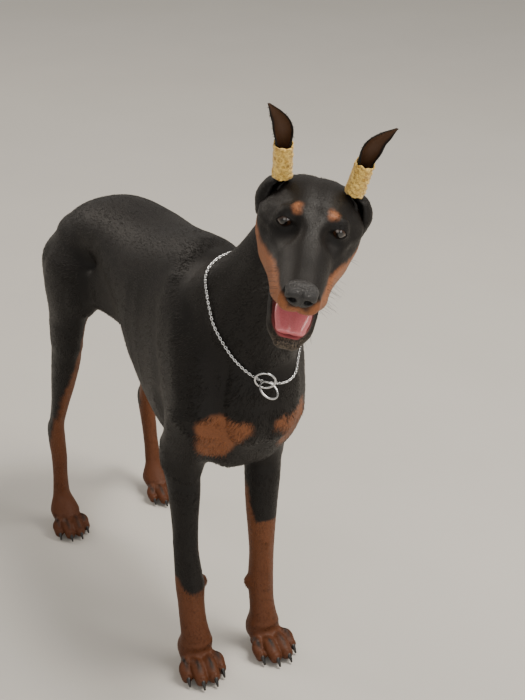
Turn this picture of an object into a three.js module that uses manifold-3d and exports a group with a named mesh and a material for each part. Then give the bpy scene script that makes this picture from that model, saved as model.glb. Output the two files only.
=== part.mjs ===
// A life-size standing Doberman, adolescent, with taped cropped ears and a chain collar.
// Millimetres, +Z up. The dog faces -Y and its left side is +X. The shapes are set out
// from a point under the spine, and the group then moves the middle of the whole dog over
// the origin, with the floor at z = 0.
import * as THREE from "three";
import { mergeVertices } from "three/addons/utils/BufferGeometryUtils.js";
import Module from "manifold-3d";

const wasm = await Module();
wasm.setup();

// Driving dimensions
const GAP = 0.3;
const MIDDLE = { x: -1, y: -123 };
const WITHERS = { y: -150, z: 650 };
const BRISKET_Z = 318;
const FORE_X = { right: -74, left: 50 };
const UPPER_ARM_SPREAD = 6;
const FORE_PAW = { right: [-68, -227], left: [49, -228] };
// Stations of each forearm and pastern: place, half width, reach ahead and behind
const FORE_SHAFT = {
  right: [
    [-72.5, -184, 372, 26, 33, 32],
    [-74, -192, 338, 27, 33, 33],
    [-74, -199, 300, 24.5, 28, 29],
    [-75, -203, 250, 21, 22.5, 23],
    [-74.5, -205, 200, 20, 20, 20.5],
    [-71, -205, 160, 22, 21, 21],
    [-69, -206, 138, 23, 22, 22],
    [-68.5, -208, 112, 21.5, 20, 21],
    [-67.5, -213, 78, 22, 19.5, 20],
    [-65, -219, 48, 24.5, 20, 20],
  ],
  left: [
    [55, -184, 372, 26, 33, 32],
    [56, -192, 338, 27.5, 33, 33],
    [53, -199, 300, 27.5, 30, 30],
    [50, -203, 250, 25.5, 25, 25],
    [49.5, -205, 200, 22, 21.5, 21.5],
    [50, -205, 160, 20, 20, 20],
    [49, -206, 138, 20, 20.5, 21],
    [47.5, -208, 112, 21, 20, 21],
    [47.5, -213, 78, 20.5, 19, 19.5],
    [48, -219, 48, 23.5, 20, 20],
  ],
};
const WRIST_KNOB = { right: [-47, -203, 139], left: [29.5, -203, 113] };
const HIND_PAW = { right: [-95, 224], left: [92, 253] };
const HOCK = { right: [-95, 262, 166], left: [94, 312, 162] };
const STIFLE = { right: [-84, 148], left: [82, 170] };
const PAW_SIZE = { fore: 0.97, hind: 0.86 };
const PAW_YAW = { fore: 4, hind: 2 };
const TOES = [
  { out: -27, reach: 10, width: 12 },
  { out: -10, reach: 26, width: 13 },
  { out: 10, reach: 26, width: 13 },
  { out: 27, reach: 10, width: 12 },
];
const HEEL_PAD = { at: [0, 12, 9], radii: [22, 19, 12] };
const FLOOR = { size: [1200, 1200], thick: 80 };
const HEAD_AT = new THREE.Vector3(-39, -475, 790);
const HEAD_TURN = { yaw: -34.3, pitch: 13.0, roll: 12.3 };
const EYE = { x: 30.7, y: 4.6, z: 1, radius: 11.5 };
const ORBIT = { out: 4.7, ahead: 23.5, rise: 1.4, radii: [18, 13, 13] };
const LIDS = { shell: [14, 13.4, 13.2], slit: [9.6, 14, 6], out: 2.4, y: -10, rise: 0.6, tilt: 9, slant: 12 };
const NOSTRIL = { at: [8.2, -127, -13], radii: [4.6, 9, 4.2] };
const NOSTRIL_SLIT = { at: [14, -123, -14], radii: [5, 6, 1.7], tilt: 22 };
const BROW = { at: [24, 8, 9], radii: [15, 13, 10] };
const CHEEK = { at: [43, 44, -30], radii: [20, 34, 32], yaw: 8 };
const JAW_HINGE = { y: 62, z: -34 };
const JAW_DROP = 20;
// The open mouth from the side, as [along the head, height] in the head's own axes
const GAPE = [
  [-16, -52], [-60, -50], [-100, -44], [-140, -37],
  [-140, -119], [-100, -103], [-60, -87], [-30, -74], [-12, -61],
];
const GAPE_WIDTH = 120;
const NOSE_WIDTH = 40;
const TAPE = { wall: 1.5, radius: 10.4 };
// Steps round and along of the small balls
const COARSE = [8, 5];
const MIDDLING = [10, 7];
const FINE = [12, 8];
const CHAIN = { radius: 1.7, steps: 54, sides: 5 };
const RING = { radius: 13.7, wire: 1.5, sides: 5, steps: 18 };

// Colours
const COAT_BLACK = 0x1b1a1a;
const COAT_RUST = 0x9a5a33;
const finish = (color, roughness, metalness = 0) => (
  new THREE.MeshStandardMaterial({ color, roughness, metalness })
);
const BLACK_COAT = finish(COAT_BLACK, 0.5);
const RUST_COAT = finish(COAT_RUST, 0.6);
const NOSE_LEATHER = finish(0x2c2a2b, 0.45);
const WET_TONGUE = finish(0xd9767a, 0.3);
const EYE_GLOSS = finish(0x140d09, 0.08);
const EAR_TAPE = finish(0xc9a256, 0.7);
const STEEL = finish(0xc9cacb, 0.25, 1);

// Solids
function toSolid(geometry) {
  const bare = geometry.clone();
  for (const name of Object.keys(bare.attributes)) {
    if (name !== "position") bare.deleteAttribute(name);
  }
  const merged = mergeVertices(bare, 1e-4);
  const build = (triVerts) => new wasm.Manifold(new wasm.Mesh({
    numProp: 3,
    vertProperties: new Float32Array(merged.attributes.position.array),
    triVerts,
  }));
  const kept = [];
  for (let i = 0; i < merged.index.count; i += 3) {
    const [a, b, c] = merged.index.array.slice(i, i + 3);
    if (a !== b && b !== c && c !== a) kept.push(a, b, c);
  }
  const triangles = new Uint32Array(kept);
  const solid = build(triangles);
  if (solid.volume() > 0) return solid;
  for (let i = 0; i < triangles.length; i += 3) {
    [triangles[i + 1], triangles[i + 2]] = [triangles[i + 2], triangles[i + 1]];
  }
  return build(triangles);
}

function toGeometry(solid) {
  const mesh = solid.getMesh();
  const geometry = new THREE.BufferGeometry();
  const stride = mesh.numProp;
  const points = new Float32Array((mesh.vertProperties.length / stride) * 3);
  for (let i = 0; i < points.length / 3; i += 1) {
    for (let axis = 0; axis < 3; axis += 1) {
      points[3 * i + axis] = mesh.vertProperties[stride * i + axis];
    }
  }
  geometry.setAttribute("position", new THREE.BufferAttribute(points, 3));
  geometry.setIndex(new THREE.BufferAttribute(new Uint32Array(mesh.triVerts), 1));
  return geometry;
}

const union = (solids) => solids.reduce((sum, solid) => sum.add(solid));
const largest = (solid) => (
  solid.decompose().reduce((best, piece) => (piece.volume() > best.volume() ? piece : best))
);

const UP = new THREE.Vector3(0, 0, 1);
const FRONT = new THREE.Vector3(0, -1, 0);

/**
 * A closed body lofted through stations. Each station is
 * [x, y, z, halfWidth, front, back, power, taper]: front and back are the reaches of the
 * section along and against `facing`, power squares the section and taper widens its
 * front side. The ends are domes of the given lengths.
 */
function loft(stations, options = {}) {
  const { sides = 16, rows = 12, facing = UP, axis = null, domes = [0.6, 0.6], grow = 0, cap = 2 } = options;
  const spline = (pick) => new THREE.CatmullRomCurve3(
    stations.map((s) => new THREE.Vector3(...pick(s))), false, "catmullrom", 0.5,
  );
  const path = spline((s) => [s[0], s[1], s[2]]);
  const sizes = spline((s) => [s[3], s[4], s[5]]);
  const shapes = spline((s) => [s[6] ?? 2, s[7] ?? 0, 0]);
  const total = rows + 2 * cap;
  const geometry = new THREE.SphereGeometry(1, sides, total);
  const position = geometry.attributes.position;
  for (let row = 0; row <= total; row += 1) {
    const inner = THREE.MathUtils.clamp(row - cap, 0, rows);
    const t = inner / rows;
    const capStep = row < cap ? row : (row > total - cap ? total - row : cap);
    const capAngle = (capStep / cap) * Math.PI / 2;
    const scale = Math.sin(capAngle);
    const size = sizes.getPoint(t);
    const shape = shapes.getPoint(t);
    const tangent = axis ? axis.clone() : path.getTangent(t);
    const front = facing.clone().addScaledVector(tangent, -facing.dot(tangent)).normalize();
    const side = new THREE.Vector3().crossVectors(tangent, front).normalize();
    const reach = Math.cos(capAngle) * (0.5 * (size.y + size.z) + grow);
    const slide = row < cap ? -reach * domes[0] : (row > total - cap ? reach * domes[1] : 0);
    const centre = path.getPoint(t).addScaledVector(tangent, slide);
    for (let column = 0; column <= sides; column += 1) {
      const angle = (column / sides) * 2 * Math.PI;
      const c = Math.cos(angle);
      const s = Math.sin(angle);
      const power = 2 / shape.x;
      const u = Math.sign(c) * Math.abs(c) ** power * (size.x + grow) * (1 + shape.y * s);
      const v = Math.sign(s) * Math.abs(s) ** power * ((s > 0 ? size.y : size.z) + grow);
      const point = centre.clone().addScaledVector(side, u * scale).addScaledVector(front, v * scale);
      position.setXYZ(row * (sides + 1) + column, point.x, point.y, point.z);
    }
  }
  return toSolid(geometry);
}

function ball(centre, radii, turn = [0, 0, 0], detail = [16, 12]) {
  const geometry = new THREE.SphereGeometry(1, ...detail);
  geometry.scale(...radii);
  geometry.rotateX(THREE.MathUtils.degToRad(turn[0]));
  geometry.rotateY(THREE.MathUtils.degToRad(turn[1]));
  geometry.rotateZ(THREE.MathUtils.degToRad(turn[2]));
  geometry.translate(...centre);
  return toSolid(geometry);
}

function slab(centre, normal, size, thick = GAP) {
  const geometry = new THREE.BoxGeometry(size[0], size[1], thick);
  const turn = new THREE.Quaternion().setFromUnitVectors(UP, new THREE.Vector3(...normal).normalize());
  geometry.applyQuaternion(turn);
  geometry.translate(...centre);
  return toSolid(geometry);
}

const headFrame = new THREE.Matrix4().makeRotationFromEuler(new THREE.Euler(
  THREE.MathUtils.degToRad(HEAD_TURN.pitch),
  THREE.MathUtils.degToRad(HEAD_TURN.roll),
  THREE.MathUtils.degToRad(HEAD_TURN.yaw),
  "ZXY",
));
headFrame.setPosition(HEAD_AT);
const inHead = (solid) => solid.transform(headFrame.elements);

// Trunk: sections across the spine from the breastbone to the buttocks
function trunk() {
  const rib = (y, top, bottom, half, x = 0, power = 2.2, taper = 0) => {
    const middle = 0.5 * (top + bottom);
    return [x, y, middle, half, top - middle, middle - bottom, power, taper];
  };
  return loft([
    rib(-284, 542, 396, 58, 5, 2.5),
    rib(-258, 596, 356, 82, 4, 2.4),
    rib(-205, 626, BRISKET_Z + 12, 90, 1),
    rib(WITHERS.y, WITHERS.z, BRISKET_Z, 90, -3, 2.1, -0.08),
    rib(-90, 641, BRISKET_Z, 89, 1, 2.2, -0.04),
    rib(-25, 626, 366, 90, 3, 2.2, 0.02),
    rib(40, 616, 436, 84, 5, 2, 0.1),
    rib(95, 613, 480, 78, 4, 2, 0.1),
    rib(140, 610, 494, 77, 2, 2, 0.06),
    rib(185, 604, 486, 82, 0, 2.1),
    rib(232, 590, 468, 82, 0, 2.2),
    rib(272, 562, 474, 60, 0),
  ], { sides: 20, rows: 15, facing: UP, axis: new THREE.Vector3(0, 1, 0), domes: [0.35, 0.3], cap: 2 });
}

// Neck, from the shoulders to the back of the skull
function neck() {
  return loft([
    [1, -154, 545, 80, 76, 122, 2.4],
    [4, -200, 580, 78, 60, 126, 2.5],
    [8, -244, 624, 70, 44, 110, 2.4],
    [10, -290, 668, 56, 40, 82, 2.2],
    [12, -332, 715, 48, 42, 64, 2.1],
    [14, -360, 750, 45, 40, 52, 2.1],
    [14, -380, 768, 44, 34, 46, 2.1],
    [6, -400, 776, 40, 26, 40, 2.1],
  ], { sides: 15, rows: 9, facing: new THREE.Vector3(0, 0.7, 0.7), domes: [0.4, 0.2] });
}

// Foreleg: shoulder blade, upper arm, forearm and pastern
function foreleg(hand) {
  const name = hand < 0 ? "right" : "left";
  const x = FORE_X[name];
  const mid = -8;
  const spread = hand < 0 ? 0 : UPPER_ARM_SPREAD;
  const outward = spread * hand;
  const blade = loft([
    [mid + 38 * hand, -150, 596, 20, 30, 34],
    [mid + 53 * hand, -174, 556, 24, 46, 50],
    [mid + 62 * hand, -206, 498, 27, 50, 58],
    [mid + 67 * hand, -236, 436, 27, 42, 48],
  ], { sides: 12, rows: 6, facing: FRONT, cap: 2 });
  const arm = loft([
    [mid + (66 + spread) * hand, -238, 432, 27, 34, 48],
    [mid + (66 + spread) * hand, -212, 392, 29, 38, 50],
    [x * 0.98 + outward, -190, 352, 27, 38, 40],
  ], { sides: 12, rows: 6, facing: FRONT, cap: 2 });
  const shaft = loft(FORE_SHAFT[name], { sides: 11, rows: 12, facing: FRONT, cap: 1 });
  const elbow = ball([x * 0.99, -162, 350], [15, 16, 22], [0, 0, 0], COARSE);
  const knob = ball(WRIST_KNOB[name], [8, 9, 11], [0, 0, 0], COARSE);
  return union([blade, arm, shaft, elbow, knob]);
}

// Paw: four arched toes, two behind the pads, a heel pad and a claw on each toe
function paw(at, yaw, size) {
  const parts = [loft([
    [0, 24, 32, 25, 24, 26],
    [0, 6, 28, 27, 20, 24],
    [0, -10, 22, 26, 14, 20],
  ], { sides: 8, rows: 2, facing: UP, cap: 2 })];
  for (const toe of TOES) {
    parts.push(loft([
      [toe.out * 0.72, -4, 24, toe.width - 1, 12, 14],
      [toe.out * 0.95, -toe.reach * 0.7 - 6, 23, toe.width, 12, 16],
      [toe.out * 1.02, -toe.reach - 16, 13, toe.width - 1.5, 11, 13],
    ], { sides: 6, rows: 3, facing: UP, cap: 2 }));
    parts.push(loft([
      [toe.out * 1.03, -toe.reach - 20, 14, 3.4, 4, 4],
      [toe.out * 1.05, -toe.reach - 27, 10, 2.6, 3.2, 3.2],
      [toe.out * 1.05, -toe.reach - 31.5, 4.5, 1.2, 1.4, 1.4],
    ], { sides: 5, rows: 2, facing: UP, cap: 1 }));
  }
  parts.push(ball(HEEL_PAD.at, HEEL_PAD.radii, [0, 0, 0], COARSE));
  const floor = slab([0, 0, -FLOOR.thick / 2], [0, 0, 1], FLOOR.size, FLOOR.thick);
  const turn = new THREE.Matrix4().makeRotationZ(THREE.MathUtils.degToRad(yaw));
  turn.scale(new THREE.Vector3(size, size, size));
  turn.setPosition(at[0], at[1], 0);
  return union(parts).transform(turn.elements).subtract(floor);
}

// Hind leg: thigh, stifle, second thigh, hock and rear pastern
function hindleg(hand) {
  const foot = hand < 0 ? HIND_PAW.right : HIND_PAW.left;
  const hock = hand < 0 ? HOCK.right : HOCK.left;
  const stifle = hand < 0 ? STIFLE.right : STIFLE.left;
  const thigh = loft([
    [46 * hand, 212, 540, 36, 56, 62],
    [61 * hand, 214, 508, 46, 78, 80],
    [71 * hand, 208, 468, 44, 80, 80],
    [stifle[0] * 1.02, stifle[1] + 44, 420, 28, 46, 68],
    [stifle[0] * 1.08, stifle[1] + 46, 376, 22, 30, 48],
  ], { sides: 14, rows: 8, facing: FRONT });
  const gaskin = loft([
    [stifle[0] * 1.08, stifle[1] + 42, 396, 22, 30, 50],
    [stifle[0] * 1.07, stifle[1] + 54, 345, 23.5, 31, 42],
    [stifle[0] * 0.4 + hock[0] * 0.6, (stifle[1] + 36) * 0.5 + hock[1] * 0.5, 285, 20, 27, 31],
    [hock[0] * 0.9 + stifle[0] * 0.1, hock[1] - 22, 225, 14.5, 17, 22],
    [hock[0], hock[1] - 10, 190, 13.5, 15, 20],
    [hock[0], hock[1] - 6, hock[2] - 4, 15, 19, 21],
    [hock[0], hock[1] - 12, 130, 14.5, 17, 16],
    [hock[0] * 0.5 + foot[0] * 0.5, (hock[1] + foot[1]) / 2 + 6, 90, 14, 15, 14],
    [foot[0], foot[1] + 22, 52, 17, 16, 15],
    [foot[0], foot[1] + 12, 34, 20, 16, 16],
  ], { sides: 11, rows: 13, facing: FRONT, cap: 1 });
  const heel = ball([hock[0], hock[1] + 8, hock[2] + 10], [10, 13, 19], [0, 0, 0], COARSE);
  const flank = loft([
    [50 * hand, 40, 468, 16, 56, 16],
    [62 * hand, 96, 472, 16, 60, 16],
    [76 * hand, 150, 464, 15, 44, 20],
  ], { sides: 8, rows: 4, facing: UP, cap: 1 });
  return union([thigh, gaskin, heel, flank]);
}

const tail = () => loft([
  [0, 262, 548, 19, 18, 24],
  [0, 288, 548, 15, 15, 16],
  [0, 304, 540, 12, 11, 12],
  [0, 316, 530, 8, 8, 8],
], { sides: 12, rows: 6, facing: UP });

// Head, in its own frame: origin between the eyes, nose towards -Y
const skull = () => loft([
  [0, 102, -28, 40, 29, 32, 2.2],
  [0, 84, -22, 52, 38, 44, 2.3],
  [0, 54, -18, 57, 46, 54, 2.4, -0.08],
  [0, 22, -18, 53, 46, 54, 2.3, -0.14],
  [0, -4, -18, 46, 38, 48, 2.3, -0.2],
  [0, -30, -20, 36, 31, 34, 2.2, -0.24],
  [0, -60, -22, 31.5, 28, 28, 2.2, -0.24],
  [0, -92, -21, 28.5, 25.5, 24, 2.2, -0.2],
  [0, -112, -20, 25.5, 23, 20, 2.3, -0.14],
], { sides: 18, rows: 13, facing: UP, axis: new THREE.Vector3(0, -1, 0), domes: [0.5, 0.42], cap: 2 });

// A point of the left side, or its mirror on the right
const onSide = (hand, [x, y, z]) => [x * hand, y, z];
const brow = (hand) => ball(onSide(hand, BROW.at), BROW.radii, [0, 0, 0], MIDDLING);
const cheek = (hand) => ball(onSide(hand, CHEEK.at), CHEEK.radii, [0, 0, CHEEK.yaw * hand], FINE);
const flew = (hand) => loft([
  [50 * hand, 30, -42, 9, 20, 18],
  [46 * hand, 4, -45, 9, 19, 18],
  [38.5 * hand, -20, -44, 9, 18, 16],
  [31 * hand, -48, -41, 9, 16, 13],
  [27 * hand, -70, -39, 9, 15, 12],
  [22 * hand, -96, -34, 10, 13, 10],
  [12 * hand, -114, -30, 9, 9, 7],
], { sides: 8, rows: 7, facing: UP, cap: 1 });

function jaw() {
  const body = loft([
    [0, 66, -40, 44, 20, 26, 2.3],
    [0, 40, -46, 42, 20, 24, 2.3],
    [0, 5, -52, 37, 17, 17, 2.3],
    [1, -30, -56, 33, 13, 14, 2.3],
    [2, -60, -58, 31, 12, 13, 2.3],
    [2, -84, -58, 26.5, 11, 13, 2.3],
    [2, -97, -58, 18, 9, 12, 2.2],
  ], { sides: 16, rows: 9, facing: UP, axis: new THREE.Vector3(0, -1, 0), domes: [0.4, 0.6] });
  return dropped(body);
}

function dropped(solid) {
  const hinge = new THREE.Vector3(0, JAW_HINGE.y, JAW_HINGE.z);
  const drop = new THREE.Matrix4().makeTranslation(hinge.x, hinge.y, hinge.z)
    .multiply(new THREE.Matrix4().makeRotationX(THREE.MathUtils.degToRad(JAW_DROP)))
    .multiply(new THREE.Matrix4().makeTranslation(-hinge.x, -hinge.y, -hinge.z));
  return solid.transform(drop.elements);
}

const tongue = (grow = 0) => dropped(loft([
  [1, -14, -47, 17, 5, 6, 2.2],
  [2, -44, -47, 21, 5, 6, 2.2],
  [2.5, -68, -46, 22, 5, 6, 2.2],
  [2.5, -84, -46, 18.5, 5, 6, 2.2],
], { sides: 10, rows: 4, facing: UP, grow, domes: [0.8, 1.4] }));

// The open mouth: a wedge between the jaws, from the corners of the lips forward
function gape() {
  const shape = new THREE.Shape(GAPE.map(([along, height]) => new THREE.Vector2(along, height)));
  const geometry = new THREE.ExtrudeGeometry(shape, { depth: GAPE_WIDTH, bevelEnabled: false });
  geometry.translate(0, 0, -GAPE_WIDTH / 2);
  geometry.applyMatrix4(new THREE.Matrix4().makeBasis(
    new THREE.Vector3(0, 1, 0), new THREE.Vector3(0, 0, 1), new THREE.Vector3(1, 0, 0),
  ));
  return toSolid(geometry);
}

function nose(grow = 0) {
  return loft([
    [0, -104, -7, 15, 8, 10, 2.1],
    [0, -113, -9, NOSE_WIDTH / 2 - 1, 12.5, 15, 2.15, 0.1],
    [0, -121, -10, NOSE_WIDTH / 2 - 2, 11.5, 14.5, 2.15, 0.12],
  ], { sides: 12, rows: 3, facing: UP, grow, axis: new THREE.Vector3(0, -1, 0), domes: [0.3, 0.45] });
}

const nostril = (hand) => union([
  ball(onSide(hand, NOSTRIL.at), NOSTRIL.radii, [0, 0, 0], COARSE),
  ball(onSide(hand, NOSTRIL_SLIT.at), NOSTRIL_SLIT.radii, [0, NOSTRIL_SLIT.tilt * hand, 0], COARSE),
]);

const eyeball = (hand, grow = 0) => ball(
  [EYE.x * hand, EYE.y, EYE.z],
  [EYE.radius + grow, EYE.radius + grow, EYE.radius + grow],
  [90, 0, 0],
  FINE,
);

const orbit = (hand) => ball(
  onSide(hand, [EYE.x + ORBIT.out, EYE.y - ORBIT.ahead, EYE.z + ORBIT.rise]),
  ORBIT.radii,
  [0, 0, 0],
  MIDDLING,
);

function lids(hand) {
  const shell = ball(onSide(hand, [EYE.x, EYE.y, EYE.z]), LIDS.shell, [0, 0, 0], FINE);
  const opening = onSide(hand, [EYE.x + LIDS.out, LIDS.y, EYE.z + LIDS.rise]);
  const slit = ball(opening, LIDS.slit, [0, LIDS.tilt * hand, LIDS.slant * hand], MIDDLING);
  return { shell, slit };
}

// Ear: a cupped bell at its root, a roll inside the tape and a pointed leaf above it
const EARS = {
  right: {
    root: [-50, 56, -30], bell: [-53, 58, -8], fold: [-51, 59, 10], tapeLow: [-45, 58, 22],
    tapeHigh: [-52.5, 54, 66], leaf: [-58, 52, 87], blade: [-67, 53, 100], tip: [-79, 56, 110],
    open: [0.12, -1, 0.1],
  },
  left: {
    root: [50, 56, -32], bell: [54, 58, -8], fold: [51, 59, 10], tapeLow: [42, 58, 22],
    tapeHigh: [44, 54, 66], leaf: [49.5, 52, 88], blade: [57.5, 53, 103], tip: [68, 56, 116],
    open: [0.12, -1, 0.1],
  },
};

/**
 * A cupped sheet along an axis: each station is [point, cup radius, half arc in degrees,
 * thickness]. All its sections lie square to the axis.
 */
function cup(stations, axis, facing, { arc = 14, rows = 16, grow = 0 } = {}) {
  const path = new THREE.CatmullRomCurve3(stations.map((s) => new THREE.Vector3(...s[0])));
  const sizes = new THREE.CatmullRomCurve3(stations.map((s) => new THREE.Vector3(s[1], s[2], s[3])));
  path.curveType = "catmullrom";
  sizes.curveType = "catmullrom";
  const sides = 2 * arc;
  const total = rows + 2;
  const open = 0.01;
  const geometry = new THREE.SphereGeometry(1, sides, total, 0, 2 * Math.PI, open, Math.PI - 2 * open);
  const position = geometry.attributes.position;
  const front = facing.clone().addScaledVector(axis, -facing.dot(axis)).normalize();
  const side = new THREE.Vector3().crossVectors(axis, front).normalize();
  for (let row = 0; row <= total; row += 1) {
    const t = THREE.MathUtils.clamp(row - 1, 0, rows) / rows;
    const seam = row === 0 || row === total;
    const size = sizes.getPoint(t);
    const reach = (seam ? 1 : 0.3) * size.z * 0.5 + grow;
    const slide = row <= 1 ? -reach : (row >= total - 1 ? reach : 0);
    const centre = path.getPoint(t).addScaledVector(axis, slide);
    const half = THREE.MathUtils.degToRad(size.y);
    for (let column = 0; column <= sides; column += 1) {
      const k = column % sides;
      const outer = k < arc;
      const along = outer ? -1 + (2 * k) / (arc - 1) : 1 - (2 * (k - arc)) / (arc - 1);
      const edge = Math.sqrt(Math.max(0, 1 - Math.abs(along) ** 3));
      const wall = seam ? 0 : size.z * (0.35 + 0.65 * edge) + 2 * grow;
      const radius = size.x + (outer ? wall / 2 : -wall / 2);
      const lip = k === 0 || k === arc - 1 || k === arc || k === sides - 1 ? grow / size.x : 0;
      const angle = along * half + Math.sign(along) * lip;
      const point = centre.clone()
        .addScaledVector(side, radius * Math.sin(angle))
        .addScaledVector(front, -radius * Math.cos(angle));
      position.setXYZ(row * (sides + 1) + column, point.x, point.y, point.z);
    }
  }
  return toSolid(geometry);
}

function ear(name, grow = 0) {
  const e = EARS[name];
  const facing = new THREE.Vector3(...e.open).normalize();
  const axis = new THREE.Vector3(...e.tapeHigh).sub(new THREE.Vector3(...e.tapeLow)).normalize();
  return cup([
    [e.root, 14, 140, 6],
    [e.bell, 15, 145, 5.4],
    [e.fold, 11, 145, 4],
    [e.tapeLow, 8, 150, 3.2],
    [e.tapeHigh, 8.8, 128, 3],
    [e.leaf, 12.8, 66, 3],
    [e.blade, 9.5, 64, 2.8],
    [e.tip, 2.8, 44, 2.2],
  ], axis, facing, { arc: 9, rows: 13, grow });
}

function tape(name, solidGrow = null) {
  const e = EARS[name];
  const axis = new THREE.Vector3(...e.tapeHigh).sub(new THREE.Vector3(...e.tapeLow)).normalize();
  const tube = (grow, extend) => {
    const low = new THREE.Vector3(...e.tapeLow).addScaledVector(axis, -extend);
    const high = new THREE.Vector3(...e.tapeHigh).addScaledVector(axis, extend);
    const middle = low.clone().add(high).multiplyScalar(0.5);
    const geometry = new THREE.CylinderGeometry(1, 1, low.distanceTo(high), 12, 1);
    geometry.scale(TAPE.radius + grow, 1, TAPE.radius + grow);
    geometry.applyQuaternion(new THREE.Quaternion().setFromUnitVectors(new THREE.Vector3(0, 1, 0), axis));
    geometry.translate(middle.x, middle.y, middle.z);
    return toSolid(geometry);
  };
  if (solidGrow !== null) return tube(TAPE.wall + solidGrow, solidGrow);
  return tube(TAPE.wall, 0).subtract(tube(GAP, 4));
}

// The head as one body, hollowed for the eyes, nose, tongue, ears and ear tapes
function wholeHead() {
  let solid = union([
    skull(), brow(1), brow(-1), cheek(1), cheek(-1), flew(1), flew(-1), jaw(),
  ]);
  for (const hand of [1, -1]) {
    solid = solid.subtract(orbit(hand)).add(lids(hand).shell);
  }
  for (const hand of [1, -1]) {
    solid = solid.subtract(lids(hand).slit).subtract(eyeball(hand, GAP));
  }
  return solid.subtract(gape()).subtract(tongue(GAP)).subtract(nose(GAP));
}

// The chain lies in a tilted plane round the root of the neck, on the coat
const NECK_LOOP = {
  centre: new THREE.Vector3(6, -262, 580),
  up: new THREE.Vector3(0.06, 0.51, 0.86).normalize(),
  side: new THREE.Vector3(1, 0.14, -0.08).normalize(),
  points: 32,
};

function chainPath(flesh) {
  const coat = new THREE.Mesh(toGeometry(flesh), new THREE.MeshBasicMaterial({ side: THREE.DoubleSide }));
  const reaches = [];
  const rays = [];
  for (let i = 0; i < NECK_LOOP.points; i += 1) {
    const angle = (i / NECK_LOOP.points) * 2 * Math.PI;
    const ray = NECK_LOOP.side.clone().multiplyScalar(Math.cos(angle))
      .addScaledVector(NECK_LOOP.up, Math.sin(angle)).normalize();
    const hit = new THREE.Raycaster(NECK_LOOP.centre, ray).intersectObject(coat)[0];
    rays.push(ray);
    reaches.push(hit.distance);
  }
  const at = (i) => reaches[(i + NECK_LOOP.points) % NECK_LOOP.points];
  const points = rays.map((ray, i) => {
    const even = (at(i - 1) + 2 * at(i) + at(i + 1)) / 4;
    return NECK_LOOP.centre.clone().addScaledVector(ray, Math.max(even, at(i)) + CHAIN.radius / 2);
  });
  return new THREE.CatmullRomCurve3(points, true);
}

// The two rings of the collar, linked through each other at the lowest point of the chain
const RINGS = {
  upper: { centre: [-8.5, -314.6, 511.6], facing: [-0.52, -0.79, -0.33] },
  lower: { centre: [-6.9, -322.1, 500.3], facing: [0.31, -0.51, 0.8] },
};

function collarRing(name) {
  const centre = new THREE.Vector3(...RINGS[name].centre);
  const normal = new THREE.Vector3(...RINGS[name].facing).normalize();
  const geometry = new THREE.TorusGeometry(RING.radius, RING.wire, RING.sides, RING.steps);
  geometry.applyQuaternion(new THREE.Quaternion().setFromUnitVectors(UP, normal));
  geometry.translate(centre.x, centre.y, centre.z);
  return toSolid(geometry);
}

function chain(path, grow = 0) {
  const { steps, sides, radius } = CHAIN;
  const geometry = new THREE.TorusGeometry(1, 0.1, sides, steps);
  const position = geometry.attributes.position;
  const across = new THREE.Vector3().crossVectors(NECK_LOOP.side, NECK_LOOP.up).normalize();
  for (let step = 0; step <= steps; step += 1) {
    const t = (step % steps) / steps;
    const centre = path.getPointAt(t);
    const outward = new THREE.Vector3().crossVectors(path.getTangentAt(t), across).normalize();
    for (let side = 0; side <= sides; side += 1) {
      const angle = ((side % sides) / sides) * 2 * Math.PI;
      const point = centre.clone()
        .addScaledVector(outward, (radius + grow) * Math.cos(angle))
        .addScaledVector(across, (radius + grow) * Math.sin(angle));
      position.setXYZ(side * (steps + 1) + step, point.x, point.y, point.z);
    }
  }
  return toSolid(geometry);
}

const intoHead = (p) => new THREE.Vector3(...p).applyMatrix4(headFrame).toArray();
const headTurned = (p) => new THREE.Vector3(...p).transformDirection(headFrame).toArray();

/** Parts a solid at a plane, half the gap kept on each side: [ahead of the normal, behind it]. */
function parted(solid, point, normal) {
  const n = new THREE.Vector3(...normal).normalize();
  const offset = n.dot(new THREE.Vector3(...point));
  return [
    solid.trimByPlane(n.toArray(), offset + GAP / 2),
    solid.trimByPlane(n.clone().negate().toArray(), GAP / 2 - offset),
  ];
}

function block(low, high, grow = 0) {
  const size = low.map((v, i) => high[i] - v + 2 * grow);
  const geometry = new THREE.BoxGeometry(...size);
  geometry.translate(...low.map((v, i) => (v + high[i]) / 2));
  return toSolid(geometry);
}

const NECK_PLANE = { at: [0, -232, 585], normal: [0, -0.72, 0.69] };
const NAPE_PLANE = { at: [0, 92, -40], normal: [0, -1, 0.25] };
const JAW_CUT = { at: [0, 40, -70.5], normal: [0, 0.25, 1], size: [150, 128] };
const TAIL_PLANE = { at: [0, 289, 548], normal: [0, 1, 0] };
const FORE_CUT_Z = 352;
const HIND_CUT_Z = 436;
const FORE_PAW_Z = 58;
const HIND_PAW_Z = 52;
const FORE_ZONE = { inner: { right: -34, left: 26 }, outer: 150, front: -310, back: -138 };
const HIND_ZONE = { outer: 200, front: 100, back: 400 };
const UNDER_FLOOR = -10;

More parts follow.
